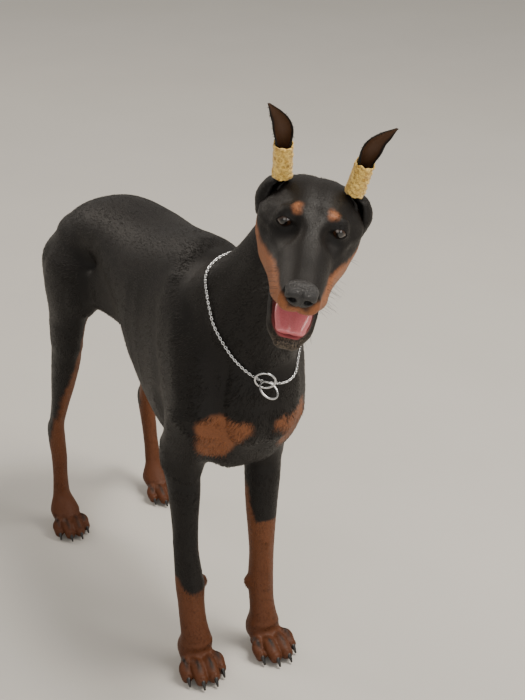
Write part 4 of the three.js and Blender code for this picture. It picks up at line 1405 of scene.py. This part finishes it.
@dataclass
class Coat:
    """Short flat tufts over the skin, along the lie of the hair."""

    skin: bpy.types.Object
    marks: Markings
    seed: int = 7
    thick: float = 0.03
    sink: float = 0.5
    stray: float = 0.09

    @staticmethod
    def laid(way: Array, out: Array) -> Array:
        """Ways with what points out of the skin taken away."""
        return way - out * (way * out).sum(1)[:, None]

    def flow(self, p: Array) -> Array:
        """The lie of the hair at points: back from the nose, along the trunk and down the legs."""
        q = HEAD.into(p)
        head = np.tile(HEAD.turn @ unit([0, 1.0, 0.12]), (len(p), 1))
        head += (HEAD.turn @ np.array([1.0, 0, 0])) * (np.clip(q[:, 0] / 60, -1, 1) * 0.35)[:, None]
        body = np.tile(unit([0, 0.8, -0.55]), (len(p), 1))
        down = np.tile(unit([0, 0.15, -1.0]), (len(p), 1))
        back = np.tile(unit([0, 1.0, -0.1]), (len(p), 1))
        on_head = np.clip((60 - q[:, 1]) / 40, 0, 1)[:, None] * (p[:, 2:3] > HEAD_FLOOR)
        leg = np.clip((430 - p[:, 2]) / 90, 0, 1)[:, None]
        top = np.clip((p[:, 2] - 540) / 70, 0, 1)[:, None] * (p[:, 1:2] > -150)
        way = body * (1 - leg) * (1 - top) + down * leg + back * top
        paw = (p[:, 2:3] < 40)
        way = np.where(paw, np.tile(unit([0, -0.6, -0.5]), (len(p), 1)), way)
        return way * (1 - on_head) + head * on_head

    def build(self) -> list[bpy.types.Object]:
        """Makes the coat in pieces by region."""
        mesh = self.skin.data
        mesh.calc_loop_triangles()
        tri = np.empty(len(mesh.loop_triangles) * 3, dtype=np.int64)
        mesh.loop_triangles.foreach_get("vertices", tri)
        tri = tri.reshape(-1, 3)
        p = points_of(mesh)
        normal = np.empty(len(p) * 3)
        mesh.vertex_normals.foreach_get("vector", normal)
        normal = normal.reshape(-1, 3)
        middle = p[tri].mean(1)
        head = HEAD.into(middle)
        on_head = (head[:, 1] < 70) & (middle[:, 2] > HEAD_FLOOR)
        low = middle[:, 2] < 300
        body = ~on_head & ~low
        y = middle[:, 1]
        long, short = Lock(10.5, 1.0, 1.9, 3.0), Lock(6.5, 0.8, 2.6, 2.2)
        regions = {
            "coat_head": (on_head, Lock(4.4, 0.6, 2.6, 1.7)),
            "coat_neck": (body & (y < -190), long),
            "coat_shoulders": (body & (y >= -190) & (y < -60), long),
            "coat_barrel": (body & (y >= -60) & (y < 110), long),
            "coat_quarters": (body & (y >= 110), long),
            "coat_forelegs": (low & (y < 0), short),
            "coat_hindlegs": (low & (y >= 0), short),
        }
        made = []
        for name, (mask, lock) in regions.items():
            made.append(self.piece(name, p, normal, tri[mask], lock))
            log.info("%s: %d tufts", name, len(made[-1].data.polygons) // len(TUFT_FACES))
        return made

    def piece(self, name: str, p: Array, normal: Array, tri: Array, lock: Lock) -> bpy.types.Object:
        """One coat piece.

        Args:
            name: the piece's name.
            p: the skin's points.
            normal: the skin's normals.
            tri: the skin's triangles that it covers.
            lock: sizes of its tufts.
        """
        rng = np.random.default_rng(self.seed + len(name))
        a, b, c = p[tri[:, 0]], p[tri[:, 1]], p[tri[:, 2]]
        area = 0.5 * np.linalg.norm(np.cross(b - a, c - a), axis=1)
        count = int(min(area.sum() / lock.spacing ** 2, MOST_TUFTS))
        pick = rng.choice(len(tri), count, p=area / area.sum())
        u, v = rng.random(count), rng.random(count)
        over = u + v > 1
        u, v = np.where(over, 1 - u, u), np.where(over, 1 - v, v)
        w = 1 - u - v
        mix = tri[pick]
        root = p[mix[:, 0]] * w[:, None] + p[mix[:, 1]] * u[:, None] + p[mix[:, 2]] * v[:, None]
        out = normal[mix[:, 0]] * w[:, None] + normal[mix[:, 1]] * u[:, None] + normal[mix[:, 2]] * v[:, None]
        out /= np.maximum(np.linalg.norm(out, axis=1, keepdims=True), 1e-6)
        keep = self.furred(root)
        root, out = root[keep], out[keep]
        count = len(root)
        way = self.laid(self.flow(root), out)
        way = self.laid(way + self.stray * rng.normal(size=way.shape), out)
        way /= np.maximum(np.linalg.norm(way, axis=1, keepdims=True), 1e-6)
        across = np.cross(way, out)
        size = lock.length * (0.7 + 0.6 * rng.random(count)) * self.shortness(root)
        lift = np.radians(lock.lift * (0.5 + rng.random(count)))
        wide = lock.width * (0.7 + 0.6 * rng.random(count))
        base = root - out * self.sink
        ahead, above = size * np.cos(lift), size * np.sin(lift)
        mid = root + way * (0.5 * ahead)[:, None] + out * (0.5 * above - 0.1)[:, None]
        tip = root + way * ahead[:, None] + out * (0.62 * above - 0.2)[:, None]
        half = (0.5 * wide)[:, None]
        rings = [
            base - across * half * 0.8, base + across * half * 0.8, base + out * self.thick * 2,
            mid - across * half, mid + across * half, mid + out * self.thick * 2, tip,
        ]
        points = np.stack(rings, axis=1).reshape(-1, 3)
        start = np.arange(count)[:, None] * TUFT_POINTS
        faces = (start[:, None] + TUFT_FACES[None]).reshape(-1, 3)
        coat = piece_from(name, points, faces)
        mesh = coat.data
        self.marks.store(mesh, np.repeat(root, TUFT_POINTS, axis=0))
        lining = measure_of(self.skin.data, "lining")[mix]
        worn = (lining * np.stack([w, u, v], axis=1)).sum(1)[keep]
        set_measure(mesh, "lining", np.repeat(worn, TUFT_POINTS))
        set_measure(mesh, "tone", np.repeat(rng.random(count) * 0.5 - 0.1, TUFT_POINTS))
        self.unwrap(mesh, root, out)
        return coat

    @staticmethod
    def furred(p: Array) -> Array:
        """False on the lids' rims, the lips, the nose and under the soles."""
        q = HEAD.into(p)
        off = [np.linalg.norm((q - [EYE[0] * h, -5, 0]) / [13, 12, 9], axis=1) for _, h in HANDS]
        eye = np.min(off, axis=0) < 1
        nose = (q[:, 1] < -104) & (q[:, 2] > -26) & (np.abs(q[:, 0]) < 22)
        jaw = JAW.into(p)
        inside = (np.abs(q[:, 0]) < 26) & (q[:, 1] < 0) & (q[:, 2] < -48) & (jaw[:, 2] > -54)
        return ~(eye | nose | inside | (p[:, 2] < 5))

    @staticmethod
    def shortness(p: Array) -> Array:
        """How short the hair is: least on nose, ears and toes."""
        q = HEAD.into(p)
        on_head = p[:, 2] > HEAD_FLOOR
        muzzle = np.clip((q[:, 1] + 110) / 90, 0.45, 1)
        ear = np.where(q[:, 2] > 60, 0.7, 1.0)
        toes = np.clip(p[:, 2] / 60, 0.45, 1)
        return np.where(on_head, muzzle * ear, toes)

    @staticmethod
    def unwrap(mesh: bpy.types.Mesh, root: Array, out: Array) -> None:
        """Lays each tuft as a small patch at its root's place on an unwrap of the skin.

        The unwrap has a chart for each of seven parts of the skin and each of the six ways
        that it can face.
        """
        q = HEAD.into(root)
        part = np.where(root[:, 2] < 420, 1 + (root[:, 0] > 0) + 2 * (root[:, 1] > 0), 0)
        part = np.where((q[:, 1] < 74) & (root[:, 2] > HEAD_FLOOR), 5, part)
        part = np.where((q[:, 2] > 34) & (part == 5) & (q[:, 1] > 30), 6, part)
        axis = np.abs(out).argmax(1)
        facing = axis * 2 + (np.take_along_axis(out, axis[:, None], 1)[:, 0] > 0)
        u = np.where(axis == 0, root[:, 1], root[:, 0])
        v = np.where(axis == 2, root[:, 1], root[:, 2])
        place = np.empty((len(root), 2))
        charts = (7, 6)
        for k in range(charts[0]):
            for f in range(charts[1]):
                on = (part == k) & (facing == f)
                if not on.any():
                    continue
                uv = np.stack([u[on], v[on]], axis=1)
                span = np.maximum((uv.max(0) - uv.min(0)).max(), 1.0)
                place[on] = ((uv - uv.min(0)) / span * 0.94 + 0.03 + [k, f]) / charts
        whole = place[:, None, None] + TUFT_CHART[TUFT_FACES][None]
        layer = mesh.uv_layers.new(name="OFBake")
        layer.uv.foreach_set("vector", whole.reshape(-1))


# Head pieces.

@dataclass
class Eyes:
    """Both eyeballs with their corneas."""

    finish: bpy.types.Material
    lens_bulge: float = 0.7

    def build(self) -> list[bpy.types.Object]:
        """Makes each eye from a sphere whose pole looks out of the head."""
        return [self.eye(side, hand) for side, hand in HANDS]

    def eye(self, side: str, hand: int) -> bpy.types.Object:
        """One eye: a bulged sphere, with each point's ring from the pupil stored on it."""
        gaze = HEAD.turn @ unit([0.2 * hand, -1.0, 0.06])
        centre = HEAD.out(EYE * [hand, 1, 1])
        deselect()
        bpy.ops.mesh.primitive_uv_sphere_add(
            segments=48, ring_count=32, radius=(EYE_RADIUS - 0.1) * MM, location=metres(centre),
            rotation=turn_to(gaze))
        piece = finished(f"eye_{side}_wet")
        mesh = piece.data
        way = points_of(mesh) - centre
        angle = np.arccos(np.clip(way @ gaze / np.linalg.norm(way, axis=1), -1, 1))
        bulge = self.lens_bulge * np.clip(1 - (angle / 0.62) ** 2, 0, 1)
        set_points(mesh, centre + way * (1 + bulge / EYE_RADIUS)[:, None])
        set_measure(mesh, "ring", angle / 1.1)
        mesh.materials.append(self.finish)
        return piece


@dataclass
class Nose:
    """The nose leather with nostrils, wings and the groove between them."""

    half_width: float = 20.0
    step: float = 0.8
    quick_step: float = 1.4
    margin: float = 34.0

    def build(self) -> bpy.types.Object:
        """Sculpts and meshes the nose."""
        pad = Sculpture()
        pad.add(Loft([
            (0, -104, -7, 15, 8, 10, 2.1), (0, -113, -9, self.half_width - 1, 12.5, 15, 2.15, 0.1),
            (0, -121, -10, self.half_width - 2, 11.5, 14.5, 2.15, 0.12),
        ], UP, FRONT, (6, 7), HEAD), 1)
        for _, hand in HANDS:
            pad.cut(Ball((8.0 * hand, -130, -13), (4.2, 12, 3.9), (0, 0, -10 * hand), HEAD), 2.2)
            pad.cut(Ball((14.0 * hand, -126, -14.5), (6.5, 9, 1.6), (0, 18 * hand, 0), HEAD), 1.6)
            pad.stroke([(5 * hand, -128, -5), (12 * hand, -126, -7), (16 * hand, -120, -12)], 3.4, 0.9, HEAD)
        pad.stroke([(0, -124, -2), (0, -129, -10), (0, -126, -22), (0, -118, -27)], 1.5, -1.5, HEAD)
        pad.inset = 0.3
        centre = HEAD.out(np.array([[0, -115.0, -10]]))[0]
        step = self.step
        points, faces = surface_net(pad, centre - self.margin, centre + self.margin, step)
        nose = piece_from("nose_leather", pad.settle(points, 2), faces)
        nose.data.materials.append(nose_leather())
        return nose


@dataclass
class Mouth:
    """The tongue, lying in the lower jaw."""

    step: float = 1.5
    quick_step: float = 2.4
    margin: float = 62.0

    def build(self) -> bpy.types.Object:
        """Sculpts and meshes the tongue."""
        tongue = Sculpture()
        tongue.add(Loft([
            (1, -14, -47, 17, 4, 6, 2.2), (2, -44, -47, 21, 4, 6, 2.2), (2.5, -68, -46, 22, 4.6, 6, 2.2),
            (2.5, -84, -46, 18.5, 4.8, 6, 2.2),
        ], UP, FRONT, (6, 8), JAW), 1)
        tongue.stroke([(1, -20, -42), (2, -60, -42), (3, -88, -41)], 3.2, -1.7, JAW)
        for _, hand in HANDS:
            tongue.stroke([(1 + 15 * hand, -20, -43), (3 + 18.5 * hand, -60, -42), (3 + 12 * hand, -86, -41)],
                          3.0, 1.3, JAW)
        tongue.inset = 0.4
        centre = JAW.out(np.array([[0, -58.0, -46]]))[0]
        step = self.step
        points, faces = surface_net(tongue, centre - self.margin, centre + self.margin, step)
        piece = piece_from("tongue_wet", tongue.settle(points, 2), faces)
        piece.data.materials.append(plain_grain(
            "wet_tongue", {"Roughness": 0.28, "Coat Weight": 0.5, "Coat Roughness": 0.12,
                           "Subsurface Weight": 0.12, "Subsurface Scale": 0.004},
            "#dd8488", "#b9565c", 700.0, 0.0004))
        return piece


@dataclass
class Whiskers:
    """Single stiff hairs on lips, chin, cheeks and brows, and the lashes of the upper lids."""

    flesh: Sculpture
    seed: int = 31
    steps: int = 5
    sides: int = 3
    radius: float = 0.2
    sag: float = 0.0048

    def roots(self) -> list[tuple[Array, Array, float]]:
        """Places in the head's axes, ways that the hairs point and their lengths."""
        rng = np.random.default_rng(self.seed)
        made = []
        for _, hand in HANDS:
            for row in range(4):
                for n in range(6):
                    at = [26 * hand, -104 + 9 * n, -22 - 6 * row]
                    made.append((np.array(at), unit([1.0 * hand, 0.5, -0.55 - 0.1 * row]), 17 + 2.5 * n))
            for n in range(7):
                at = [(6 + 4 * n) * hand, -86 + 4 * n, -118 + 2 * n]
                made.append((np.array(at), unit([0.5 * hand, -0.2, -1.0]), 10.0))
            for n in range(3):
                made.append((np.array([(24 + 3 * n) * hand, -2, 22]), unit([0.3 * hand, -0.8, 0.9]), 16.0))
                made.append((np.array([52 * hand, 16 + 4 * n, -44]), unit([1.0 * hand, 0.3, -0.4]), 15.0))
            slit = EyeSlit(hand)
            for spot in slit.line(True, 0.8):
                for k in range(3):
                    nudge = rng.normal(size=3) * 0.7
                    made.append((spot + nudge, unit(slit.gaze + [0.25 * hand, 0, 0.25 + 0.15 * k]), 3.4))
        return [(at + rng.normal(size=3) * 1.4, unit(way + rng.normal(size=3) * 0.12), long)
                for at, way, long in made]

    def build(self) -> bpy.types.Object:
        """Sets every hair as a slim tapered rod, bent a little by its weight."""
        points, faces = [], []
        for at, way, long in self.roots():
            root = self.flesh.settle(HEAD.out(at[None]), 8)[0]
            out = HEAD.turn @ way
            a = unit(np.cross(out, [0.3, 0.2, 0.9]))
            b = np.cross(out, a)
            start = len(points)
            for k in range(self.steps + 1):
                t = k / self.steps
                centre = root + out * (long * t - 0.6) - UP * (self.sag * long * long * t * t)
                wide = self.radius * (1 - 0.85 * t)
                for turn in range(self.sides):
                    angle = turn * 2 * math.pi / self.sides
                    points.append(centre + wide * (math.cos(angle) * a + math.sin(angle) * b))
            for k in range(self.steps):
                ring = start + self.sides * k
                for turn in range(self.sides):
                    one, two = ring + turn, ring + (turn + 1) % self.sides
                    faces.append((one, two, two + self.sides, one + self.sides))
        hairs = piece_from("whiskers", np.array(points), np.array(faces))
        hairs.data.materials.append(plain_grain(
            "stiff_dark_hair", {"Roughness": 0.45}, "#2a2320", "#120f0e", 500.0, 0.0001))
        return hairs


@dataclass
class EarTapes:
    """The wrap tape wound round both ears."""

    radius: float = 11.6
    wall: float = 1.2
    cuts: int = 44
    waves: int = 26
    lap: float = 11.0

    def build(self) -> list[bpy.types.Object]:
        """Winds a tape on each ear."""
        material = tape_finish()
        made = []
        for side, ear in EARS.items():
            low, high = np.array(ear.tape_low), np.array(ear.tape_high)
            axis = ear.axis()
            middle = HEAD.out((0.5 * (low + high))[None])[0]
            length = float(np.linalg.norm(high - low))
            deselect()
            bpy.ops.mesh.primitive_cylinder_add(
                vertices=72, radius=self.radius * MM, depth=length * MM, end_fill_type="NOTHING",
                location=metres(middle), rotation=turn_to(HEAD.turn @ axis))
            piece = finished(f"ear_tape_{side}_wrap")
            with edited(piece.data) as bm:
                upright = [e for e in bm.edges if len(e.link_faces) == 2]
                bmesh.ops.subdivide_edges(bm, edges=upright, cuts=self.cuts, use_grid_fill=True)
            self.crinkle(piece.data, middle, HEAD.turn @ axis, length, ear.hand)
            wall = piece.modifiers.new("wall", "SOLIDIFY")
            wall.thickness = self.wall * MM
            wall.offset = -1
            piece.select_set(True)
            bpy.context.view_layer.objects.active = piece
            bpy.ops.object.modifier_apply(modifier="wall")
            deselect()
            piece.data.shade_smooth()
            piece.data.materials.append(material)
            made.append(piece)
        return made

    def crinkle(self, mesh: bpy.types.Mesh, middle: Array, axis: Array, length: float, hand: int) -> None:
        """Presses laps, creases and ragged rims into a tape."""
        p = points_of(mesh) - middle
        s = p @ axis
        flat = p - s[:, None] * axis
        r = np.linalg.norm(flat, axis=1)
        way = flat / r[:, None]
        one = way[0]
        two = np.cross(axis, one)
        angle = np.arctan2(way @ two, way @ one)
        lap = (s / self.lap + hand * angle / (2 * np.pi)) % 1.0
        bump = 0.55 * np.clip(lap * 4, 0, 1) - 0.3
        rng = np.random.default_rng(11 + hand)
        for _ in range(self.waves):
            k = rng.integers(2, 9)
            m = rng.uniform(0.15, 0.9)
            bump += rng.uniform(0.05, 0.13) * np.sin(k * angle + m * s + rng.uniform(0, 6.3))
        low, high = s + 0.5 * length - 2, s - 0.5 * length
        bump += 0.35 * np.exp(-(low / 2.2) ** 2) - 0.5 * np.exp(-(high / 2.5) ** 2)
        rim = np.abs(s) > 0.5 * length - 0.5
        slide = np.where(rim, 1.1 * np.sin(3 * angle + hand) + 0.6 * np.sin(7 * angle), 0.0)
        p = way * (r + np.clip(bump, -1.0, 1.1))[:, None] + (s + slide)[:, None] * axis
        set_points(mesh, p + middle)


@dataclass
class Claws:
    """Four dark claws on each foot."""

    def build(self) -> bpy.types.Object:
        """Models one claw and sets a copy at each toe."""
        made = []
        for place, size in standing_paws():
            for out, reach, _ in TOES:
                base = np.array([out * 1.03, -reach - 18, 13.5]) * size
                tip = np.array([out * 1.06, -reach - 30, 4.4]) * size
                made.append(self.claw(place, base, tip, size, len(made)))
        joined(made)
        claws = finished("claws")
        claws.data.materials.append(plain_grain(
            "dark_claw_horn", {"Roughness": 0.42, "Coat Weight": 0.1, "Coat Roughness": 0.3},
            "#1c1817", "#090808", 300.0, 0.0002))
        return claws

    @staticmethod
    def claw(place: Place, base: Array, tip: Array, size: float, number: int) -> bpy.types.Object:
        """One claw: a cone, ringed and bent down towards its tip."""
        centre = place.out((0.5 * (base + tip))[None])[0]
        way = place.turn @ unit(tip - base)
        length = float(np.linalg.norm(tip - base))
        deselect()
        bpy.ops.mesh.primitive_cone_add(
            vertices=12, radius1=4.9 * size * MM, radius2=1.5 * size * MM, depth=length * MM,
            location=metres(centre), rotation=turn_to(way))
        bpy.ops.object.mode_set(mode="EDIT")
        bpy.ops.mesh.select_all(action="SELECT")
        bpy.ops.mesh.subdivide(number_cuts=3)
        bpy.ops.object.mode_set(mode="OBJECT")
        piece = finished(f"claw_{number}")
        p = points_of(piece.data)
        t = np.clip((p - centre) @ way / length + 0.5, 0, 1)
        p[:, 2] += 3.4 * size * 4 * t * (1 - t) - 0.8 * size * t
        p[:, 2] = np.maximum(p[:, 2], 0.3)
        set_points(piece.data, p)
        return piece


# Collar.

@dataclass
class Collar:
    """The twisted steel chain and its two linked rings."""

    flesh: Sculpture
    steel: bpy.types.Material
    centre: Array = field(default_factory=lambda: np.array([6.0, -262.0, 580.0]))
    up: Array = field(default_factory=lambda: unit([0.06, 0.51, 0.86]))
    wire: float = 0.7
    pitch: float = 3.5
    ring_radius: float = 13.7
    ring_wire: float = 1.5
    ring_at: tuple[tuple[float, float, float], ...] = ((-8.5, -314.6, 511.6), (-6.9, -322.1, 500.3))
    ring_facing: tuple[tuple[float, float, float], ...] = ((-0.52, -0.79, -0.33), (0.31, -0.51, 0.8))

    def route(self) -> Array:
        """Points on the coat round the root of the neck, evenly spaced by half a link."""
        side = unit([1, 0.14, -0.08])
        angles = np.linspace(0, 2 * np.pi, 120, endpoint=False)
        ways = np.cos(angles)[:, None] * side + np.sin(angles)[:, None] * self.up
        reach = np.full(len(angles), 30.0)
        for _ in range(60):
            d = self.flesh.distance(self.centre + ways * reach[:, None])
            reach += np.clip(-d, -4, 4) * 0.8
        ringed = np.concatenate([reach[-3:], reach, reach[:3]])
        smooth = np.convolve(ringed, np.ones(7) / 7, "valid")
        points = self.centre + ways * (np.maximum(smooth, reach) + 1.6 + COAT_DEPTH * 0.4)[:, None]
        closed = np.vstack([points, points[:1]])
        length = np.concatenate([[0], np.cumsum(np.linalg.norm(np.diff(closed, axis=0), axis=1))])
        count = 2 * int(length[-1] / self.pitch / 2)
        at = np.linspace(0, length[-1], count, endpoint=False)
        return np.stack([np.interp(at, length, closed[:, k]) for k in range(3)], axis=1)

    def chain(self) -> bpy.types.Object:
        """One link, copied along the route with every other one turned."""
        route = self.route()
        deselect()
        bpy.ops.mesh.primitive_torus_add(
            major_radius=1.3 * MM, minor_radius=self.wire * MM, major_segments=14, minor_segments=7)
        link = finished("link")
        flat = np.empty(len(link.data.vertices) * 3)
        link.data.vertices.foreach_get("co", flat)
        shape = flat.reshape(-1, 3) / MM
        shape[:, 0] += np.sign(shape[:, 0]) * 1.0
        faces = np.array([list(f.vertices) for f in link.data.polygons])
        bpy.data.objects.remove(link)
        ahead = np.roll(route, -1, axis=0) - np.roll(route, 1, axis=0)
        points, loops = [], []
        for i, (at, way) in enumerate(zip(route, ahead)):
            way = unit(way)
            out = unit(at - self.centre - way * ((at - self.centre) @ way))
            turn = math.radians(45 if i % 2 else -45)
            a = math.cos(turn) * out + math.sin(turn) * np.cross(way, out)
            points.append(shape @ np.stack([way, a, np.cross(way, a)]) + at)
            loops.append(faces + i * len(shape))
        chain = piece_from("collar_chain_links", np.vstack(points), np.vstack(loops))
        chain.data.materials.append(self.steel)
        return chain

    def rings(self) -> list[bpy.types.Object]:
        """Both rings, linked through each other."""
        made = []
        for i, name in enumerate(("upper", "lower")):
            deselect()
            bpy.ops.mesh.primitive_torus_add(
                major_radius=self.ring_radius * MM, minor_radius=self.ring_wire * MM, major_segments=72,
                minor_segments=16, location=metres(np.array(self.ring_at[i])),
                rotation=turn_to(self.ring_facing[i]))
            ring = finished(f"collar_ring_{name}_round")
            ring.data.materials.append(self.steel)
            made.append(ring)
        return made


# Studio.

@dataclass(frozen=True)
class Studio:
    """Floor, soft lights and the camera at the photograph's angle."""

    eye: tuple[float, float, float] = (-858.6, -1856.7, 1413.8)
    ahead: tuple[float, float, float] = (0.432258, 0.788356, -0.437776)
    roll: float = 0.8156
    focal_px: float = 1500.0
    frame_px: float = 700.0

    def camera(self) -> None:
        """The camera, from the fitted view."""
        data = bpy.data.cameras.new("camera")
        data.sensor_width = 36.0
        data.sensor_height = 36.0
        data.lens = self.focal_px / self.frame_px * 36.0
        data.clip_end = 50.0
        camera = bpy.data.objects.new("camera", data)
        bpy.context.scene.collection.objects.link(camera)
        camera.location = metres(np.array(self.eye))
        turn = Vector(self.ahead).to_track_quat("-Z", "Y").to_matrix()
        camera.rotation_euler = (turn @ Matrix.Rotation(math.radians(self.roll), 3, "Z")).to_euler()
        bpy.context.scene.camera = camera

    def floor(self) -> None:
        """A plain pale floor."""
        deselect()
        bpy.ops.mesh.primitive_plane_add(size=14.0, location=(0, 0, -0.0005))
        floor = finished("studio_floor")
        floor.data.materials.append(plain_grain(
            "pale_floor", {"Roughness": 0.75}, "#c9c6c0", "#c1beb8", 3.0, 0.0001))

    def lights(self) -> None:
        """A large soft key from above, a fill and a rim."""
        rows = (
            ("key", (1.6, -1.2, 3.6), 125.0, 2.2, "#fff6ea"),
            ("sun", (0.9, -0.7, 4.0), 60.0, 0.7, "#fffaf0"),
            ("fill", (-3.0, -3.2, 2.0), 46.0, 2.6, "#f6f1ea"),
            ("rim", (-1.2, 3.4, 2.8), 50.0, 1.8, "#fff4e6"),
            ("front", (0.2, -3.8, 1.4), 26.0, 1.8, "#ffffff"),
        )
        for name, at, watts, size, tint in rows:
            data = bpy.data.lights.new(name, "AREA")
            data.energy = watts
            data.size = size
            data.color = linear(tint)[:3]
            lamp = bpy.data.objects.new(name, data)
            lamp.location = at
            lamp.rotation_euler = (Vector((0, -0.15, 0.45)) - Vector(at)).to_track_quat("-Z", "Y").to_euler()
            bpy.context.scene.collection.objects.link(lamp)
        world = bpy.data.worlds.new("studio")
        world.use_nodes = True
        sky = world.node_tree.nodes["Background"]
        sky.inputs["Color"].default_value = linear("#e8e4de")
        sky.inputs["Strength"].default_value = 0.55
        bpy.context.scene.world = world


# Assembly.

def settle_piece(piece: bpy.types.Object, slot: str, *nodes: str) -> None:
    """Rides a piece on the root and hides the nodes that it stands for."""
    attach(piece, "root")
    if nodes:
        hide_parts(*nodes)
    log.info("%s: %d faces", piece.name, len(piece.data.polygons))


def main() -> None:
    """Builds the dog, piece by piece."""
    logging.basicConfig(level=logging.INFO, format="%(relativeCreated)d %(message)s")
    deselect()
    flesh = dog_flesh()
    marks = Markings()
    skin = Skin(flesh, marks).build()
    coat_skin = CoatFinish().make("short_coat_skin")
    coat_hair = CoatFinish().make("short_coat_hair")
    skin.data.materials.clear()
    skin.data.materials.append(coat_skin)
    settle_piece(skin, "coat_black", *FLESH_NODES)
    for piece in Coat(skin, marks).build():
        piece.data.materials.append(coat_hair)
        settle_piece(piece, "coat_black")
    for (side, _), eye in zip(HANDS, Eyes(eye_finish()).build()):
        settle_piece(eye, "eye", f"eye_{side}")
    settle_piece(Nose().build(), "nose_leather", "nose")
    settle_piece(Mouth().build(), "tongue", "tongue")
    settle_piece(Whiskers(flesh).build(), "coat_black")
    settle_piece(Claws().build(), "nose_leather")
    for (side, _), tape in zip(HANDS, EarTapes().build()):
        settle_piece(tape, "ear_tape", f"ear_tape_{side}")
    collar = Collar(flesh, steel_finish())
    settle_piece(collar.chain(), "collar_steel", "collar_chain")
    for name, ring in zip(("upper", "lower"), collar.rings()):
        settle_piece(ring, "collar_steel", f"collar_ring_{name}")
    studio = Studio()
    studio.floor()
    studio.lights()
    studio.camera()


if __name__ == "__main__":
    main()
